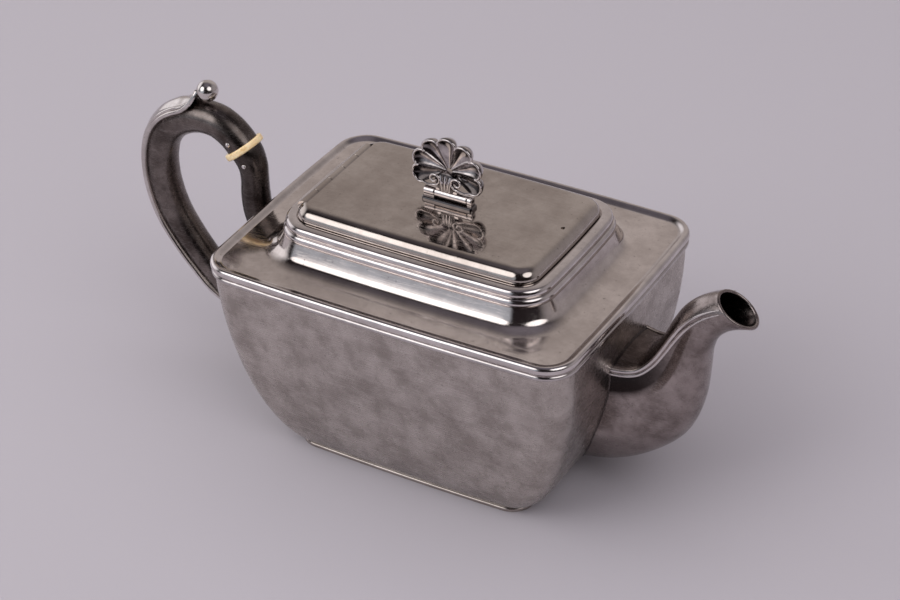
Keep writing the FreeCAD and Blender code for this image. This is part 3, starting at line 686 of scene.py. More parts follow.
def shoulder():
    sweep = sweep_line()
    top = [
        level(rim_plan(), WALL_TOP),
        level(rim_plan(), SHOULDER_Z),
        level(rim_plan(-SHEET), SHOULDER_Z),
    ]
    top += [level(lid_plan(out), up) for out, up in sweep]
    under = []
    for i in reversed(range(len(sweep))):
        before = Vector(sweep[max(i - 1, 0)])
        after = Vector(sweep[min(i + 1, len(sweep) - 1)])
        way = (after - before).normalized()
        under.append(level(lid_plan(sweep[i][0] - SHEET * way.y), sweep[i][1] + SHEET * way.x))
    verts, faces = loft(top + under, closed=True)
    obj = piece("shoulder_top", verts, faces, SHOULDER_SILVER, crease=50.0)
    settle(obj, "body", "silver", "shoulder_plate")


# bead and reed on the edge of the shoulder, with painted shade in the groove between them and lighter
# painted shade on the lower reed
def rim_reeds():
    bead_z = SHOULDER_Z - RIM_BEAD_DROP
    lip = RIM_BEAD[1] - RIM_BEAD_DROP
    reed_z = bead_z - RIM_BEAD[1] - RIM_REED[1] - RIM_GAP
    profile = [(-RIM_FALL, SHOULDER_Z - RIM_SINK)]
    steps = 9
    for i in range(steps):
        t = i / steps
        profile.append((-RIM_FALL * (1 - t), SHOULDER_Z + lip * (1 - math.cos(math.pi * t)) / 2))
    profile += arc((0.0, bead_z), RIM_BEAD, 90, -76, 18)
    dark = [0.0] * len(profile)
    profile += [(RIM_GROOVE, bead_z - RIM_BEAD[1])]
    dark += [1.0]
    profile += arc((0.0, reed_z), RIM_REED, 74, -90, 16)
    profile += [(-RIM_ROOT, reed_z - RIM_REED[1])]
    dark += [RIM_REED_SHADE] * (len(profile) - len(dark))
    obj = moulding("rim_reeds", rim_plan, profile, EDGE_SILVER, dark)
    settle(obj, "body", "silver", "rim_moulding")


# two shallow beads on the slope between the sweep of the shoulder and the lid's step, with painted shade in
# the grooves at the slope's foot and between the beads
def collar():
    web = COLLAR_OUT - SHEET
    foot = Vector(sweep_line()[-1])
    edge = Vector((COLLAR_EDGE, STEP_Z))
    slope = edge - foot
    out = Vector((slope.y, -slope.x)).normalized()
    profile = [(COVE_OUT - SHEET, foot.y - COLLAR_SINK), tuple(foot)]
    dark = [0.0, GROOVE_SHADE]
    quarter = 0.25
    for middle in (quarter, 3 * quarter):
        for x, y in arc((0.0, 0.0), (1.0, 1.0), -BEAD_SPAN, BEAD_SPAN, 14):
            p = foot + slope * (middle + y * BEAD_SHARE / 2) + out * (x * BEAD_PROUD)
            profile.append((p.x, p.y))
            dark.append(0.0)
        profile.append(tuple(foot + slope * (middle + quarter)))
        dark.append(GROOVE_SHADE if middle < 0.5 else 0.0)
    profile += [(LID_GAP + COLLAR_SOFT, STEP_Z), (LID_GAP, STEP_Z - COLLAR_SOFT), (LID_GAP, LEDGE_Z)]
    profile += [(-LEDGE_IN, LEDGE_Z), (-LEDGE_IN, LEDGE_Z - SHEET), (web, LEDGE_Z - SHEET)]
    dark += [0.0] * (len(profile) - len(dark))
    obj = moulding("collar_reeds", lid_plan, profile, EDGE_SILVER, dark)
    settle(obj, "body", "silver", "collar_reeding")


# lid

# takes a box, given by two corners, out of a piece
def cut_box(obj, low, high):
    mesh = bpy.data.meshes.new("cutter")
    work = bmesh.new()
    bmesh.ops.create_cube(work, size=1.0)
    for v in work.verts:
        for k in range(3):
            v.co[k] = (low[k] + high[k]) / 2 * MM + v.co[k] * (high[k] - low[k]) * MM
    work.to_mesh(mesh)
    work.free()
    cutter = bpy.data.objects.new("cutter", mesh)
    bpy.context.scene.collection.objects.link(cutter)
    cut = obj.modifiers.new("cut", "BOOLEAN")
    cut.operation = "DIFFERENCE"
    cut.solver = "EXACT"
    cut.object = cutter
    bake(obj)
    bpy.data.objects.remove(cutter)


# the modifiers' result becomes the object's own mesh
def bake(obj):
    bpy.context.view_layer.update()
    done = bpy.data.meshes.new_from_object(obj.evaluated_get(bpy.context.evaluated_depsgraph_get()))
    obj.modifiers.clear()
    obj.data = done


# hollow lid with a rolled edge, a vent hole and a notch for the hinge
def lid_panel():
    rings = [level(lid_plan(), LID_Z)]
    for out, up in arc((-LID_ROLL, LID_TOP - LID_ROLL), (LID_ROLL, LID_ROLL), 0, 90, 20):
        rings.append(level(lid_plan(out), up))
    inner_r = LID_ROLL - SHEET
    inside = []
    for out, up in arc((-LID_ROLL, LID_TOP - LID_ROLL), (inner_r, inner_r), 90, 0, 10):
        inside.append(level(lid_plan(out), up))
    inside.append(level(lid_plan(-SHEET), LID_Z))
    n = len(rings[0])
    verts, faces = loft(inside + rings)
    under = 0
    over = n * (len(inside + rings) - 1)
    sides = 16
    hole = []
    for z in (LID_TOP - SHEET, LID_TOP):
        hole.append(len(verts))
        for i in range(sides):
            a = 2 * math.pi * i / sides
            verts.append(Vector((VENT[0] + VENT_R * math.cos(a), VENT[1] + VENT_R * math.sin(a), z)))
    for i in range(sides):
        j = (i + 1) % sides
        faces.append((hole[0] + i, hole[0] + j, hole[1] + j, hole[1] + i))
    mesh = bpy.data.meshes.new("lid_mesh")
    mesh.from_pydata([Vector(v) * MM for v in verts], [], faces)
    work = bmesh.new()
    work.from_mesh(mesh)
    work.verts.ensure_lookup_table()
    for ring_start, hole_start in ((under, hole[0]), (over, hole[1])):
        edges = []
        for start, count in ((ring_start, n), (hole_start, sides)):
            for i in range(count):
                edges.append(work.edges.get((work.verts[start + i], work.verts[start + (i + 1) % count])))
        bmesh.ops.triangle_fill(work, use_beauty=True, edges=edges, normal=(0, 0, 1))
    work.to_mesh(mesh)
    work.free()
    obj = finish_mesh("lid_top", mesh, TOP_SILVER, LID_CREASE)
    notch = HINGE_X + HINGE_R + HINGE_CLEAR
    half = HINGE_HALF + HINGE_CLEAR
    cut_box(obj, (-LID_HALF[0] - 2, -half, LID_Z - 1), (notch, half, LID_TOP + 1))
    obj.data.set_sharp_from_angle(angle=math.radians(LID_CREASE))
    settle(obj, "lid", "silver", "lid_panel")


# paths and repeats

# new node tree with named inputs; gives the tree and what it is given
def new_tree(name, sockets):
    tree = bpy.data.node_groups.new(name, "GeometryNodeTree")
    for label, kind in sockets:
        tree.interface.new_socket(label, in_out="INPUT", socket_type="NodeSocket" + kind)
    tree.interface.new_socket("Result", in_out="OUTPUT", socket_type="NodeSocketGeometry")
    return tree, add(tree, "NodeGroupInput").outputs


# ends a tree: instances made real, finish set
def end_tree(tree, geometry, finish):
    real = add(tree, "GeometryNodeRealizeInstances", i0=geometry)
    done = add(tree, "GeometryNodeSetMaterial", i0=real.outputs[0], i2=finish)
    add(tree, "NodeGroupOutput", i0=done.outputs[0])
    return tree


# round bar carried along each curve, as thick as the radius held by the curve's points
def bar_tree():
    tree, given = new_tree("bar_on_path", (("Path", "Geometry"), ("Sides", "Int"), ("Finish", "Material")))
    ring = add(tree, "GeometryNodeCurvePrimitiveCircle", Resolution=given["Sides"], Radius=1.0)
    thick = add(tree, "GeometryNodeInputRadius")
    bar = add(tree, "GeometryNodeCurveToMesh",
              i0=given["Path"], i1=ring.outputs[0], i2=thick.outputs[0], i3=True)
    return end_tree(tree, bar.outputs[0], given["Finish"])


# copies of one piece in a straight row
def row_tree():
    tree, given = new_tree("row_of_copies", (
        ("Copy", "Geometry"), ("Count", "Int"), ("First", "Vector"), ("Step", "Vector"),
        ("Finish", "Material")))
    line = add(tree, "GeometryNodeMeshLine", {"mode": "OFFSET"},
               i0=given["Count"], i2=given["First"], i3=given["Step"])
    put = add(tree, "GeometryNodeInstanceOnPoints", i0=line.outputs[0], i2=given["Copy"])
    return end_tree(tree, put.outputs[0], given["Finish"])


# copies of one lobe fanned about a root, from -fan to +fan
def fan_tree():
    tree, given = new_tree("fan_of_lobes", (
        ("Lobe", "Geometry"), ("Count", "Int"), ("Root", "Vector"), ("Fan", "Float"),
        ("Finish", "Material")))
    line = add(tree, "GeometryNodeMeshLine", {"mode": "OFFSET"},
               i0=given["Count"], i2=given["Root"], i3=(0, 0, 0))
    index = add(tree, "GeometryNodeInputIndex")
    gaps = add(tree, "ShaderNodeMath", {"operation": "SUBTRACT"}, i0=given["Count"], i1=1.0)
    part = add(tree, "ShaderNodeMath", {"operation": "DIVIDE"}, i0=index.outputs[0], i1=gaps.outputs[0])
    turn = add(tree, "ShaderNodeMath", {"operation": "MULTIPLY_ADD"}, i0=part.outputs[0], i1=2.0, i2=-1.0)
    angle = add(tree, "ShaderNodeMath", {"operation": "MULTIPLY"}, i0=turn.outputs[0], i1=given["Fan"])
    spin = add(tree, "ShaderNodeCombineXYZ", i1=angle.outputs[0])
    put = add(tree, "GeometryNodeInstanceOnPoints",
              i0=line.outputs[0], i2=given["Lobe"], i5=spin.outputs[0])
    return end_tree(tree, put.outputs[0], given["Finish"])


# a small flattened ball at every given point
def head_tree():
    tree, given = new_tree("pin_heads", (
        ("Places", "Geometry"), ("Radius", "Float"), ("Flat", "Vector"), ("Finish", "Material")))
    ball = add(tree, "GeometryNodeMeshUVSphere", Segments=24, Rings=14, Radius=given["Radius"])
    put = add(tree, "GeometryNodeInstanceOnPoints",
              i0=given["Places"], i2=ball.outputs[0], i6=given["Flat"])
    return end_tree(tree, put.outputs[0], given["Finish"])


BAR_ON_PATH = bar_tree()
ROW_OF_COPIES = row_tree()
FAN_OF_LOBES = fan_tree()
PIN_HEADS = head_tree()


# runs a tree on an object's data and gives the finished plain mesh piece
def grow(name, data, tree, values, material, crease=CREASE):
    source = bpy.data.objects.new(name + "_source", data)
    bpy.context.scene.collection.objects.link(source)
    step = source.modifiers.new(tree.name, "NODES")
    step.node_group = tree
    for item in tree.interface.items_tree:
        if item.in_out == "INPUT" and item.name in values:
            step[item.identifier] = values[item.name]
        elif item.in_out == "INPUT" and item.name == "Finish":
            step[item.identifier] = material
    bpy.context.view_layer.update()
    mesh = bpy.data.meshes.new_from_object(source.evaluated_get(bpy.context.evaluated_depsgraph_get()))
    bpy.data.objects.remove(source)
    return finish_mesh(name, mesh, material, crease)


# round bars along lines of (points, radii)
def bars(name, lines, material, sides, closed=False):
    curve = bpy.data.curves.new(name, "CURVE")
    curve.dimensions = "3D"
    for points, radii in lines:
        line = curve.splines.new("POLY")
        line.points.add(len(points) - 1)
        for knot, at, r in zip(line.points, points, radii):
            knot.co = (*(Vector(at) * MM), 1.0)
            knot.radius = r * MM
        line.use_cyclic_u = closed
    return grow(name, curve, BAR_ON_PATH, {"Sides": sides}, material)


# closed smooth ring through points
def smooth_ring(points, per_span):
    n = len(points)
    wide = [points[i % n] for i in range(-2, n + 3)]
    return smooth(wide, per_span)[2 * per_span:(n + 2) * per_span]


# evenly placed points on a line given as (x, z, radius) knots, with bar radius at each
def bar_line(knots, per_span, ends):
    line = smooth(knots, per_span, [Vector((e.x, e.z, 0.0)) for e in ends])
    return [Vector((p.x, 0.0, p.y)) for p in line], [p.z for p in line]


# quads between rings, with the first and last ring filled
def capped(rings):
    verts, faces = loft(rings)
    n = len(rings[0])
    faces.append(tuple(range(n))[::-1])
    faces.append(tuple(range(len(verts) - n, len(verts))))
    return verts, faces


# round piece about an axis from (radius, along) points; closed joins the profile's ends in place of caps
def turned(profile, at, axis, sides, closed=False):
    axis = Vector(axis).normalized()
    side = axis.orthogonal().normalized()
    other = axis.cross(side)
    rings = []
    for r, along in profile:
        ring = []
        for i in range(sides):
            a = 2 * math.pi * i / sides
            ring.append(Vector(at) + axis * along + (side * math.cos(a) + other * math.sin(a)) * r)
        rings.append(ring)
    if closed:
        return loft(rings, closed=True)
    return capped(rings)


# several vertex and face lists as one
def joined(parts):
    verts = []
    faces = []
    for v, f in parts:
        start = len(verts)
        verts += list(v)
        faces += [tuple(k + start for k in face) for face in f]
    return verts, faces


# spout

# one section of the spout, drawn in by the thickness of its wall for the inside
def spout_ring(station, oval, thin, per_span=6):
    low, border, crown, yb, w, waist = station
    span = Vector((border[0] - low[0], 0.0, border[1] - low[1]))
    h = span.length
    u = span / h
    rise = math.hypot(crown[0] - border[0], crown[1] - border[1])
    half = [
        (0.0, 0.0),
        (0.07 * h, 0.56 * w),
        (0.34 * h, w),
        (0.64 * h, 0.95 * w),
        (0.87 * h, yb - waist),
        (h, yb),
        (h + 0.64 * rise, 0.64 * yb),
        (h + rise, 0.0),
    ]
    mid = (h + rise) / 2
    half = [(a, y + (w * math.sqrt(max(0.0, 1 - (a / mid - 1) ** 2)) - y) * oval) for a, y in half]
    ring = half + [(a, -y) for a, y in reversed(half[1:-1])]
    n = len(ring)
    points = []
    for i in range(n):
        before = ring[i - 1]
        after = ring[(i + 1) % n]
        way = Vector((after[0] - before[0], after[1] - before[1])).normalized()
        a = ring[i][0] + thin * way.y
        y = ring[i][1] - thin * way.x
        points.append(Vector((low[0], 0.0, low[1])) + u * a + Vector((0.0, y, 0.0)))
    return smooth_ring(points, per_span)


LIP_WAY = Vector((LIP_HEEL[1] - LIP_TIP[1], 0.0, LIP_TIP[0] - LIP_HEEL[0])).normalized()
LIP_MID = Vector((LIP_HEEL[0] + LIP_TIP[0], 0.0, LIP_HEEL[1] + LIP_TIP[1])) / 2
LIP_ROUND = 0.6
LIP_ANGLES = (30, 60, 90, 120, 150)
# painted dark reflection along the flute under the reeds: place round the section, half width and edge in
# steps, share of the length
FLUTE_PLACE = 4.1 / 14
FLUTE_HALF = 4.2
FLUTE_EDGE = 1.6
FLUTE_SHADE = 0.96
FLUTE_FADE = 0.46
# share of painted shade on the inside of the spout
LIP_SHADE = 0.1
ROOT_SINK = 0.5


# how far a point is past the cut of the lip
def past_lip(p):
    return (p - LIP_MID).dot(LIP_WAY) + LIP_ROUND


# how far a point stands out of the end wall
def out_of_wall(p):
    return p.x - wall_x(p.y, p.z) + ROOT_SINK


# stretch of a line between the end wall and the lip, as even steps
def spout_stretch(line, steps):
    first = 0.0
    last = len(line) - 1.0
    for i in range(len(line) - 1):
        a, b = out_of_wall(line[i]), out_of_wall(line[i + 1])
        if a < 0 <= b and line[i].x < RIM_HALF[0] + ROOT_REACH:
            first = i + a / (a - b)
        a, b = past_lip(line[i]), past_lip(line[i + 1])
        if a < 0 <= b:
            last = i + a / (a - b)
    out = []
    for k in range(steps + 1):
        t = first + (last - first) * k / steps
        i = min(int(t), len(line) - 2)
        out.append(line[i].lerp(line[i + 1], t - i))
    return out


# lines along the spout, one for each point of its section
def spout_columns(thin, steps):
    rings = [spout_ring(s, oval, thin) for s, oval in zip(STATIONS, OVAL)]
    lines = [smooth(column, per_span=8) for column in zip(*rings)]
    return [spout_stretch(line, steps) for line in lines]


def spout():
    steps = 60
    outer = spout_columns(0.0, steps)
    inner = spout_columns(SPOUT_SHEET, steps)
    n = len(outer)
    rows = [[outer[i][k] for i in range(n)] for k in range(steps + 1)]
    for angle in LIP_ANGLES:
        a = math.radians(angle)
        lip = []
        for i in range(n):
            mid = (outer[i][-1] + inner[i][-1]) / 2
            half = (outer[i][-1] - inner[i][-1]) / 2
            lip.append(mid + half * math.cos(a) + LIP_WAY * (half.length * math.sin(a)))
        rows.append(lip)
    rows += [[inner[i][k] for i in range(n)] for k in range(steps, -1, -1)]
    verts, faces = loft(rows, closed=True)
    mesh = bpy.data.meshes.new("spout_mesh")
    mesh.from_pydata([v * MM for v in verts], [], faces)
    # painted dark reflection along the flute, fading along the spout
    flute = n * FLUTE_PLACE
    shares = []
    for k in range(len(rows)):
        fade = max(0.0, 1 - (k / steps / FLUTE_FADE) ** 3)
        # painted shade on the inside of the tube
        inside = LIP_SHADE if k > steps + len(LIP_ANGLES) else 0.0
        for i in range(n):
            off = min(abs(i - flute), abs(n - i - flute))
            share = min(1.0, max(0.0, (FLUTE_HALF - off) / FLUTE_EDGE))
            shares.append(max(inside, FLUTE_SHADE * fade * share))
    set_shade_and_tarnish(mesh, shares)
    obj = finish_mesh("spout_tube", mesh, SPOUT_SILVER, crease=60.0)
    settle(obj, "body", "silver", "spout_shell")
    seam = [outer[i][0] + Vector((ROOT_SINK, 0.0, 0.0)) for i in range(n)]
    line = bars("spout_seam", [(seam, [SEAM_R] * n)], SPOUT_SILVER, sides=12, closed=True)
    set_shade_and_tarnish(line.data, [SEAM_DARK] * len(line.data.vertices))
    settle(line, "body", "silver")


# twin reeds along each border of the spout's top
def spout_reeds():
    for side, node in ((-1, "spout_reed_near"), (1, "spout_reed_far")):
        lines = []
        for drop, proud, r in REED_PAIR:
            knots = []
            for low, border, crown, yb, w, waist in STATIONS:
                u = Vector((border[0] - low[0], 0.0, border[1] - low[1])).normalized()
                knots.append(Vector((border[0], side * (yb + proud), border[1])) - u * drop)
            points = spout_stretch(smooth(knots, per_span=10), steps=90)
            radii = []
            for left in reversed(range(len(points))):
                radii.append(r * min(1.0, REED_TIP + (1 - REED_TIP) * left / REED_FADE))
            lines.append((points, radii))
        obj = bars("twin_reeds_" + node[11:], lines, EDGE_SILVER, sides=18)
        settle(obj, "body", "silver", node)


# handle

# knots of the grip with its two ends at the rings
def grip_knots():
    start = RING_AT + LEAN * (RING_T / 2)
    end = LOW_RING_AT - LOW_LEAN * (RING_T / 2)
    return [(start.x, start.z, GRIP_END_R)] + GRIP + [(end.x, end.z, LOW_GRIP_END_R)]


# points that would stand inside the pot are drawn back into the end wall's thickness
def press_to_wall(obj):
    for v in obj.data.vertices:
        p = v.co / MM
        limit = -wall_x(p.y, p.z) + ROOT_SINK
        if p.x > limit:
            v.co.x = limit * MM


def handle_bars():
    grip = bars("grip_bar", [bar_line(grip_knots(), BAR_STEPS, (LEAN, LOW_LEAN))], HANDLE_SILVER, BAR_SIDES)
    settle(grip, "body", "handle_silver", "handle_grip")
    top = RING_AT - LEAN * (RING_T / 2)
    low = LOW_RING_AT + LOW_LEAN * (RING_T / 2)
    stubs = (
        ("upper", SOCKET + [(top.x, top.z, SOCKET_END_R)], (Vector((-1, 0, 0.1)), LEAN)),
        ("lower", [(low.x, low.z, LOW_SOCKET_END_R)] + LOW_SOCKET, (LOW_LEAN, Vector((1, 0, 0)))),
    )
    for name, knots, ends in stubs:
        stub = bars(name + "_socket_bar", [bar_line(knots, BAR_STEPS, ends)], HANDLE_SILVER, BAR_SIDES)
        press_to_wall(stub)
        # painted shade over the socket bars, darker than the grip
        set_shade_and_tarnish(stub.data, [SOCKET_SHADE] * len(stub.data.vertices))
        settle(stub, "body", "handle_silver", name + "_handle_socket")


def ivory_rings():
    half = RING_SHOWN / 2
    soft = (RING_SOFT, RING_SOFT)
    for name, at, lean, r in (
        ("upper", RING_AT, LEAN, RING_R),
        ("lower", LOW_RING_AT, LOW_LEAN, LOW_RING_R),
    ):
        edge = r - RING_SOFT
        profile = [(RING_HOLE, -half), (edge, -half)]
        profile += arc((edge, -half + RING_SOFT), soft, -90, 0, 5)
        profile += arc((edge, half - RING_SOFT), soft, 0, 90, 5)
        profile += [(RING_HOLE, half)]
        verts, faces = turned(profile, at, lean, sides=64, closed=True)
        obj = piece(name + "_ivory_ring", verts, faces, IVORY)
        settle(obj, "body", "ivory", name + "_insulator")


# cross pins: middle of each, and how far its heads stand from the middle
PINS = (
    (RING_AT - LEAN * 5.6, 5.9),
    (RING_AT + LEAN * 4.6, 6.45),
    (LOW_RING_AT + LOW_LEAN * 5.0, 5.65),
    (LOW_RING_AT - LOW_LEAN * 5.0, 5.55),
)


def cross_pins():
    spots = []
    for at, half in PINS:
        spots += [Vector((at.x, side * half, at.z)) * MM for side in (-1, 1)]
    mesh = bpy.data.meshes.new("pin_places")
    mesh.from_pydata(spots, [], [])
    values = {"Radius": PIN_HEAD_R * MM, "Flat": (1.0, PIN_FLAT, 1.0)}
    obj = grow("cross_pin_heads", mesh, PIN_HEADS, values, EDGE_SILVER)
    settle(obj, "body", "silver",
           "upper_socket_pin", "upper_grip_pin", "lower_socket_pin", "lower_grip_pin")


# strap section as (degrees from the outside, height over the grip), with a reed pair at each edge
STRAP_HALF = [
    (57.0, -0.3), (58.5, 0.5), (58.5, 1.3), (56.5, 1.95),
    (53.0, 2.2), (49.5, 2.05), (47.0, 1.6), (46.0, 1.25),
    (45.0, 1.55), (42.5, 1.95), (39.0, 2.0), (36.0, 1.7),
    (34.5, 1.35), (26.0, 1.45), (13.0, 1.7), (0.0, 1.8),
]
STRAP_UNDER = STRAP_HALF[0][1]
STRAP_EDGE = STRAP_HALF[1][0]
STRAP_OVER = STRAP_HALF[-1][1]
# lower end of the strap: rows it tapers over, and the shares of thickness and width left there
TAPER_ROWS = 12
TAPER_THICK = 0.25
TAPER_WIDE = 0.55
THUMB_THIN = 0.62


# one row of the band: hug 1 wraps it round the grip, 0 leaves it flat
def band_row(at, out, half, hug, radius, thick):
    bend = hug / radius
    bent = bend > 1e-6
    row = []
    top = STRAP_HALF + [(-a, h) for a, h in reversed(STRAP_HALF[:-1])]
    under = [(a, STRAP_UNDER) for a in (-40.0, -20.0, 0.0, 20.0, 40.0)]
    for degrees, height in top + under:
        run = half * degrees / STRAP_EDGE
        turn = bend * run
        across = math.sin(turn) / bend if bent else run
        drop = (1 - math.cos(turn)) / bend if bent else 0.0
        lift = (height - STRAP_OVER) * thick
        p = at + out * (lift * math.cos(turn) - drop)
        row.append(p + Vector((0.0, across + lift * math.sin(turn), 0.0)))
    return row


# the strap runs up the outside of the grip, lifts off, narrows and rolls over into a ball
def strap():
    points, radii = bar_line(grip_knots(), BAR_STEPS, (LEAN, LOW_LEAN))
    first = (STRAP_FIRST + 1) * BAR_STEPS
    last = len(points) - 1 - BAR_STEPS
    middle = (RING_AT + LOW_RING_AT) / 2
    wrap = math.radians(STRAP_EDGE)
    rows = []
    for k in range(last, first - 1, -1):
        way = (points[k + 1] - points[k - 1]).normalized()
        out = Vector((way.z, 0.0, -way.x))
        if out.dot(points[k] - middle) < 0:
            out = -out
        fade = min(1.0, (last - k) / TAPER_ROWS)
        fade = fade * (2 - fade)
        thick = TAPER_THICK + (1 - TAPER_THICK) * fade
        wide = TAPER_WIDE + (1 - TAPER_WIDE) * fade
        radius = radii[k] + STRAP_OVER * thick
        at = points[k] + out * radius
        rows.append(band_row(at, out, radius * wrap * wide, 1.0, radius, thick))
    places = [Vector((at.x, at.z, radius * wrap))]
    leans = [Vector((out.x, out.z, 1.0))]
    for x, z, lean_x, lean_z, half, hug in THUMB:
        places.append(Vector((x, z, half)))
        leans.append(Vector((lean_x, lean_z, hug)))
    leave = points[first - 1] - points[first]
    leave = Vector((leave.x, leave.z, 0.0)).normalized()
    line = smooth(places, BAR_STEPS, (leave, None))
    turn = smooth(leans, BAR_STEPS)
    for i in range(1, len(line)):
        out = Vector((turn[i].x, 0.0, turn[i].y)).normalized()
        thick = 1 - (1 - THUMB_THIN) * min(1.0, i / (2 * BAR_STEPS))
        at = Vector((line[i].x, 0.0, line[i].y))
        rows.append(band_row(at, out, line[i].z, max(turn[i].z, 0.0), radius, thick))
    ball = []
    for degrees in range(4, 180, 8):
        a = math.radians(degrees)
        ball.append((BALL_R * math.sin(a), -BALL_R * math.cos(a)))
    verts, faces = joined([capped(rows), turned(ball, BALL_AT, (0, 1, 0), sides=40)])
    obj = piece("strap_and_thumb_scroll", verts, faces, STRAP_SILVER, crease=70.0)
    settle(obj, "body", "silver", "handle_strap", "thumb_piece")


# hinge

# outline in the plane of x and z carried along y, with chamfered ends
def knuckle(outline, centre, length, chamfer=0.06):
    rows = []
    for y, shrink in ((0.0, chamfer), (chamfer, 0.0), (length - chamfer, 0.0), (length, chamfer)):
        ring = []
        for x, z in outline:
            off = Vector((x - centre[0], 0.0, z - centre[1]))
            off = off * (1 - shrink / HINGE_R)
            ring.append(Vector((centre[0], y, centre[1])) + off)
        rows.append(ring)
    verts, faces = capped(rows)
    mesh = bpy.data.meshes.new("knuckle")
    mesh.from_pydata([v * MM for v in verts], [], faces)
    return mesh


def hinge():
    step = 2 * HINGE_HALF / HINGE_KNUCKLES
    length = step - KNUCKLE_GAP
    centre = (HINGE_X, HINGE_Z)
    foot = [(HINGE_X - back, LEDGE_Z) for back in HINGE_FOOT]
    body_outline = arc(centre, (HINGE_R, HINGE_R), -97, 222, 40) + foot
    lid_outline = arc(centre, (HINGE_R, HINGE_R), 0, 354, 48)
    for name, body, outline, count, start in (
        ("hinge_body_knuckles", "body", body_outline, 3, 0),
        ("hinge_lid_knuckles", "lid", lid_outline, 2, 1),
    ):
        first = -HINGE_HALF + start * step + KNUCKLE_GAP / 2
        values = {"Count": count, "First": (0.0, first * MM, 0.0), "Step": (0.0, 2 * step * MM, 0.0)}
        obj = grow(name, knuckle(outline, centre, length), ROW_OF_COPIES, values, TOP_SILVER, crease=30.0)
        nodes = [body + "_hinge_knuckle_" + str(i + 1) for i in range(count)]
        settle(obj, body, "silver", *nodes)


# finial

# barrel along x with softened ends
def barrel_x(x0, x1, r, soft=0.3):
    profile = [(r - soft, 0.0), (r, soft), (r, x1 - x0 - soft), (r - soft, x1 - x0)]
    return turned(profile, (x0, 0.0, FINIAL_Z), (1, 0, 0), sides=32)


# box from corner to corner
def block(low, high):
    corners = ((low[0], low[1]), (high[0], low[1]), (high[0], high[1]), (low[0], high[1]))
    return capped([[Vector((x, y, z)) for x, y in corners] for z in (low[2], high[2])])


def finial_plate():
    length, width, height = FINIAL_PLATE
    rows = []
    for grow_by, share in PLATE_EDGE:
        ring = plan((length / 2, width / 2), PLATE_BOW, PLATE_ROUND, grow_by, (3, 8, 3))
        rows.append([Vector((x + PLATE_SHIFT, y, LID_TOP + height * share)) for x, y in ring])
    parts = [capped(rows)]
    for x0, x1 in ((BARREL[0], BARREL[1] - KNUCKLE_GAP), (BARREL[2] + KNUCKLE_GAP, BARREL[3])):
        low = (x0 + STAND_IN, -STAND_HALF, LID_TOP + height / 2)
        parts.append(block(low, (x1 - STAND_IN, STAND_HALF, FINIAL_Z)))
        parts.append(barrel_x(x0, x1, FINIAL_BARREL_R))
    verts, faces = joined(parts)
    obj = piece("finial_stand", verts, faces, EDGE_SILVER, crease=30.0)
    # painted shade on the plate and the stands below the barrel
    clear = (FINIAL_Z - FINIAL_BARREL_R * 0.7) * MM
    set_shade_and_tarnish(obj.data, [PLATE_SHADE if v.co.z < clear else 0.0 for v in obj.data.vertices])
    settle(obj, "lid", "silver", "finial_base")


def finial_barrel():
    low, high = [(x, y, FINIAL_Z + z) for x, y, z in NECK]
    barrel = barrel_x(BARREL[1], BARREL[2], FINIAL_BARREL_R)
    verts, faces = joined([barrel, block(low, high)])
    obj = piece("finial_barrel", verts, faces, EDGE_SILVER, crease=30.0)
    settle(obj, "finial", "silver", "finial_knuckle")


# radius of the scalloped edge at u, from -1 to 1 across a lobe
def scallop(u):
    return NOTCH_R + (SHELL_REACH - NOTCH_R) * math.sqrt(max(0.0, 1 - u * u))


# one lobe with its root at the origin: hollow in front, round behind, with painted shade and tarnish in the
# flute towards the edge and at the lobe's sides
def lobe_mesh():
    across = 14
    along = 16
    half = math.radians(SHELL_FAN / (SHELL_LOBES - 1)) * 1.01
    fronts = []
    backs = []
    shares = []
    for k in range(along + 1):
        v = k / along
        front = []
        back = []
        for i in range(across + 1):
            u = math.sin(math.pi / 2 * (2 * i / across - 1))
            rad = SHELL_ROOT_R + (scallop(u) - SHELL_ROOT_R) * v
            x = rad * math.sin(half * u)
            z = rad * math.cos(half * u)
            dish = SHELL_DISH * (1 - v) ** 1.4
            groove = FLUTE_DEPTH * (1 - u * u) * v ** 0.7 * (1 - v ** 7)
            face = SHELL_FACE + dish
            front.append(Vector((x, face + groove, z)))
            tip = max(0.0, v - 0.5) / 0.5
            swell = math.sqrt(max(0.0, 1 - u * u)) * math.sqrt(max(0.0, 1 - tip ** 2))
            thick = SHELL_EDGE + (SHELL_BACK - SHELL_EDGE) * swell * min(1.0, 0.45 + v)
            deep = max(face + SHELL_EDGE, SHELL_FACE + thick)
            back.append(Vector((x, max(deep, face + groove + SHELL_LEAST), z)))
            shares.append(min(1.0, 0.9 * (1 - u * u) * max(0.0, (v - 0.42) / 0.5) ** 1.2 + 0.25 * u ** 6))
        fronts.append(front)
        backs.append(back)
    n = across + 1
    verts = [p for row in fronts for p in row] + [p for row in backs for p in row]
    off = n * (along + 1)
    faces = []
    for k in range(along):
        for i in range(across):
            a = k * n + i
            faces.append((a, a + 1, a + n + 1, a + n))
            faces.append((off + a, off + a + n, off + a + n + 1, off + a + 1))
        for i, turn in ((0, False), (across, True)):
            a = k * n + i
            strip = (a, a + n, off + a + n, off + a)
            faces.append(strip[::-1] if turn else strip)
    for k, turn in ((0, True), (along, False)):
        for i in range(across):
            a = k * n + i
            strip = (a, a + 1, off + a + 1, off + a)
            faces.append(strip if turn else strip[::-1])
    mesh = bpy.data.meshes.new("lobe")
    mesh.from_pydata([p * MM for p in verts], [], faces)
    set_shade_and_tarnish(mesh, shares + [0.0] * len(shares))
    return mesh


# point of the shell's front at a radius and an angle from upright
def shell_point(rad, degrees, y):
    a = math.radians(degrees)
    return Vector((rad * math.sin(a), y, FINIAL_Z + SHELL_RISE + rad * math.cos(a)))


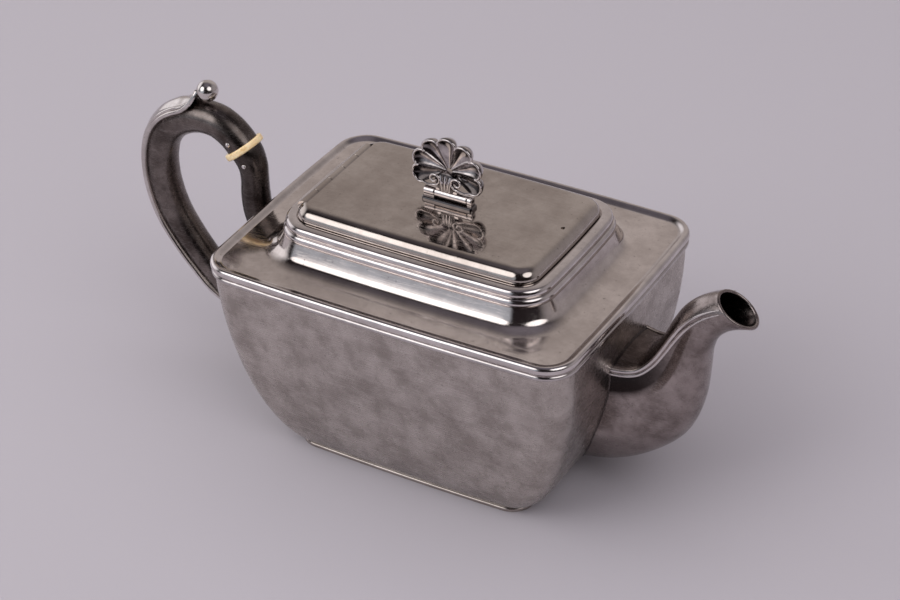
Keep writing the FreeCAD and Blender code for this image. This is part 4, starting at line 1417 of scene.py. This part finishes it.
# spiral that the bead makes beside the stem, from its foot to the eye
def volute(side):
    out = []
    steps = 40
    for i in range(steps + 1):
        t = i / steps
        a = math.radians(VOLUTE_START + 360 * VOLUTE_TURNS * t)
        r = VOLUTE_R * (1 - VOLUTE_CLOSE * t)
        x = side * (VOLUTE_AT[0] - r * math.cos(a))
        out.append(Vector((x, SHELL_FACE - VOLUTE_PROUD, FINIAL_Z + VOLUTE_AT[1] + r * math.sin(a))))
    return out


# widens a piece of the shell and leans it back about the barrel
def lean_back(obj):
    axis = Vector((0.0, 0.0, FINIAL_Z)) * MM
    turn = Matrix.Rotation(math.radians(-FINIAL_LEAN), 4, "X")
    wide = Matrix.Diagonal((SHELL_WIDEN, 1.0, 1.0, 1.0))
    obj.data.transform(Matrix.Translation(axis) @ turn @ Matrix.Translation(-axis) @ wide)


def shell_lobes():
    values = {
        "Count": SHELL_LOBES,
        "Root": (0.0, 0.0, (FINIAL_Z + SHELL_RISE) * MM),
        "Fan": math.radians(SHELL_FAN),
    }
    shell = grow("shell_lobes", lobe_mesh(), FAN_OF_LOBES, values, SHELL_SILVER, crease=50.0)
    front = (SHELL_FACE * 0.2 + FLUTE_DEPTH) * MM
    layer = shell.data.attributes["shade_and_tarnish"].data
    for v, share in zip(shell.data.vertices, layer):
        low = 1 - (v.co.z / MM - FINIAL_Z - VOLUTE_AT[1]) / SHADE_RISE
        if v.co.y < front:
            share.value = max(share.value, SHELL_SHADE * min(1.0, max(0.0, low)))
    lean_back(shell)
    settle(shell, "finial", "silver", "finial_shell")


# bead along the scalloped edge, ending in a spiral on each side of the stem
def shell_rim():
    edge = []
    step = 2 * SHELL_FAN / (SHELL_LOBES - 1)
    per_lobe = 16
    for i in range(SHELL_LOBES):
        for k in range(per_lobe + 1):
            u = math.sin(math.pi / 2 * (2 * k / per_lobe - 1))
            degrees = -SHELL_FAN + i * step + step / 2 * u
            edge.append(shell_point(scallop(u) - RIM_WIRE_IN, degrees, SHELL_FACE + RIM_WIRE_SINK))
    left = volute(-1)
    right = volute(1)
    sag = Vector((0, 0, -RIM_WIRE_SAG))
    near = smooth(left[::-1] + [(left[0] + edge[0]) / 2 + sag, edge[0]], per_span=1)
    far = smooth([edge[-1], (right[0] + edge[-1]) / 2 + sag] + right, per_span=1)
    path = near + edge[1:-1] + far
    rim = bars("shell_rim", [(path, [RIM_WIRE_R] * len(path))], EDGE_SILVER, sides=12)
    lean_back(rim)
    settle(rim, "finial", "silver")


def stem_reeds():
    fan = []
    for k in range(STEM_REEDS):
        t = 2 * k / (STEM_REEDS - 1) - 1
        knots = [(t * spread, SHELL_FACE - proud, FINIAL_Z + up) for spread, proud, up in STEM_LINE]
        points = smooth(knots, per_span=8)
        last = len(points) - 1
        fan.append((points, [STEM_R + STEM_SWELL * math.sin(math.pi * i / last) for i in range(last + 1)]))
    reeds = bars("stem_reeds", fan, EDGE_SILVER, sides=14)
    lean_back(reeds)
    settle(reeds, "finial", "silver")


def stem_boss():
    rows = []
    foot = FINIAL_Z + BOSS_FOOT[1]
    for y, shrink in BOSS_ROWS:
        half = BOSS_FOOT[0] - shrink
        ring = [Vector((-half, y, foot)), Vector((half, y, foot))]
        head = (BOSS_HEAD[0] - shrink, BOSS_HEAD[1] - shrink)
        ring += [Vector((x, y, z)) for x, z in arc((0.0, FINIAL_Z + BOSS_HEAD_UP), head, -25, 205, 24)]
        rows.append(ring)
    verts, faces = capped(rows)
    boss = piece("stem_boss", verts, faces, SHELL_SILVER, crease=40.0)
    # painted shade on the boss's front face behind the stem reeds
    set_shade_and_tarnish(boss.data, [BOSS_SHADE if v.co.y < BOSS_FRONT * MM else 0.0 for v in boss.data.vertices])
    lean_back(boss)
    settle(boss, "finial", "silver")


# stage, light and camera

# Matt grey paper: even and soft, with no gloss.
def stage():
    mesh = bpy.data.meshes.new("floor")
    size = 3.0
    corners = [(-size, -size, 0), (size, -size, 0), (size, size, 0), (-size, size, 0)]
    mesh.from_pydata(corners, [], [(0, 1, 2, 3)])
    floor = bpy.data.objects.new("floor", mesh)
    bpy.context.scene.collection.objects.link(floor)
    paper = bpy.data.materials.new("matt_paper")
    paper.use_nodes = True
    shader = paper.node_tree.nodes["Principled BSDF"]
    shader.inputs["Base Color"].default_value = tint("#A9A4AA")
    shader.inputs["Roughness"].default_value = 0.75
    mesh.materials.append(paper)


# lamp panel that lights but isn't mirrored, because the metal mirrors the room's zones
def soft_box(name, at, aim, size, power, colour):
    lamp = bpy.data.lights.new(name, "AREA")
    lamp.shape = "RECTANGLE"
    lamp.size = size[0]
    lamp.size_y = size[1]
    lamp.energy = power
    lamp.color = tint(colour)[:3]
    obj = bpy.data.objects.new(name, lamp)
    turn = (Vector(aim) - Vector(at)).to_track_quat("-Z", "Y")
    obj.matrix_world = Matrix.Translation(at) @ turn.to_matrix().to_4x4()
    obj.visible_glossy = False
    bpy.context.scene.collection.objects.link(obj)


# zones of the room that the metal mirrors: direction, where each begins and is full, colour, gain
ZONES = (
    ((-0.30, 0.85, 0.25), 0.35, 0.98, "#BDB5B3", 1.0),
    ((0.80, 0.55, 0.15), 0.55, 0.98, "#A39DA0", 1.0),
    ((0.0, 0.0, 1.0), 0.78, 1.0, "#757079", 1.0),
    ((-0.44, -0.86, 0.26), 0.86, 0.95, "#BBC1CC", 1.0),
    ((-0.97, 0.10, 0.20), 0.80, 0.96, "#E6E4E8", 1.5),
    ((-0.46, -0.69, 0.56), 0.915, 0.97, "#FFFDFF", 2.2),
    ((0.66, -0.28, 0.70), 0.915, 0.96, "#F2F0F2", 2.0),
)
ROOM_DARK = "#262123"


# dark room with pale soft zones
def room():
    world = bpy.data.worlds.new("room")
    bpy.context.scene.world = world
    world.use_nodes = True
    tree = world.node_tree
    back = tree.nodes["Background"]
    way = add(tree, "ShaderNodeTexCoord").outputs["Generated"]
    colour = tint(ROOM_DARK)
    for aim, low, high, code, gain in ZONES:
        lean = add(tree, "ShaderNodeVectorMath", {"operation": "DOT_PRODUCT"},
                   i0=way, i1=Vector(aim).normalized())
        share = add(tree, "ShaderNodeMapRange", {"interpolation_type": "SMOOTHSTEP"},
                    Value=lean.outputs["Value"], **{"From Min": low, "From Max": high})
        zone = add(tree, "ShaderNodeMix", {"data_type": "RGBA"},
                   Factor=share.outputs[0], i6=colour, i7=[gain * part for part in tint(code)])
        colour = zone.outputs[2]
    tree.links.new(colour, back.inputs["Color"])
    back.inputs["Strength"].default_value = 1.0


# camera fitted to the photograph
def view():
    az = math.radians(VIEW_AZIMUTH)
    el = math.radians(VIEW_ELEVATION)
    roll = math.radians(VIEW_ROLL)
    back = Vector((math.sin(az) * math.cos(el), -math.cos(az) * math.cos(el), math.sin(el)))
    right = Vector((math.cos(az), math.sin(az), 0.0))
    up = back.cross(right)
    right, up = right * math.cos(roll) + up * math.sin(roll), up * math.cos(roll) - right * math.sin(roll)
    at = Vector(VIEW_TARGET) + right * VIEW_SHIFT[0] + up * VIEW_SHIFT[1] + back * VIEW_DISTANCE
    lens = bpy.data.cameras.new("view")
    lens.sensor_fit = "HORIZONTAL"
    lens.sensor_width = SENSOR
    lens.lens = FOCAL_PIXELS * SENSOR / IMAGE_WIDTH
    camera = bpy.data.objects.new("view", lens)
    turn = Matrix((right, up, back)).transposed().to_4x4()
    camera.matrix_world = Matrix.Translation(at * MM) @ turn
    bpy.context.scene.collection.objects.link(camera)
    bpy.context.scene.camera = camera


body_wall()
foot_rim()
shoulder()
rim_reeds()
collar()
lid_panel()
spout()
spout_reeds()
handle_bars()
ivory_rings()
cross_pins()
strap()
hinge()
finial_plate()
finial_barrel()
shell_lobes()
shell_rim()
stem_reeds()
stem_boss()
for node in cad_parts.values():
    if not node.hide_render:
        node.data.materials.clear()
        node.data.materials.append(TOP_SILVER)

stage()
room()
soft_box("key_light", (-0.95, -0.75, 1.05), (0, 0, 0.05), (1.7, 1.7), 12.5, "#FFFDFB")
soft_box("ceiling_light", (0.0, -0.1, 1.9), (0, 0, 0.05), (3.4, 3.4), 31.0, "#FDFBFF")
soft_box("side_light", (0.9, -0.3, 0.7), (0.1, 0, 0.0), (1.0, 0.8), 1.6, "#FDFBFF")
view()
bpy.context.scene.view_settings.view_transform = "Standard"
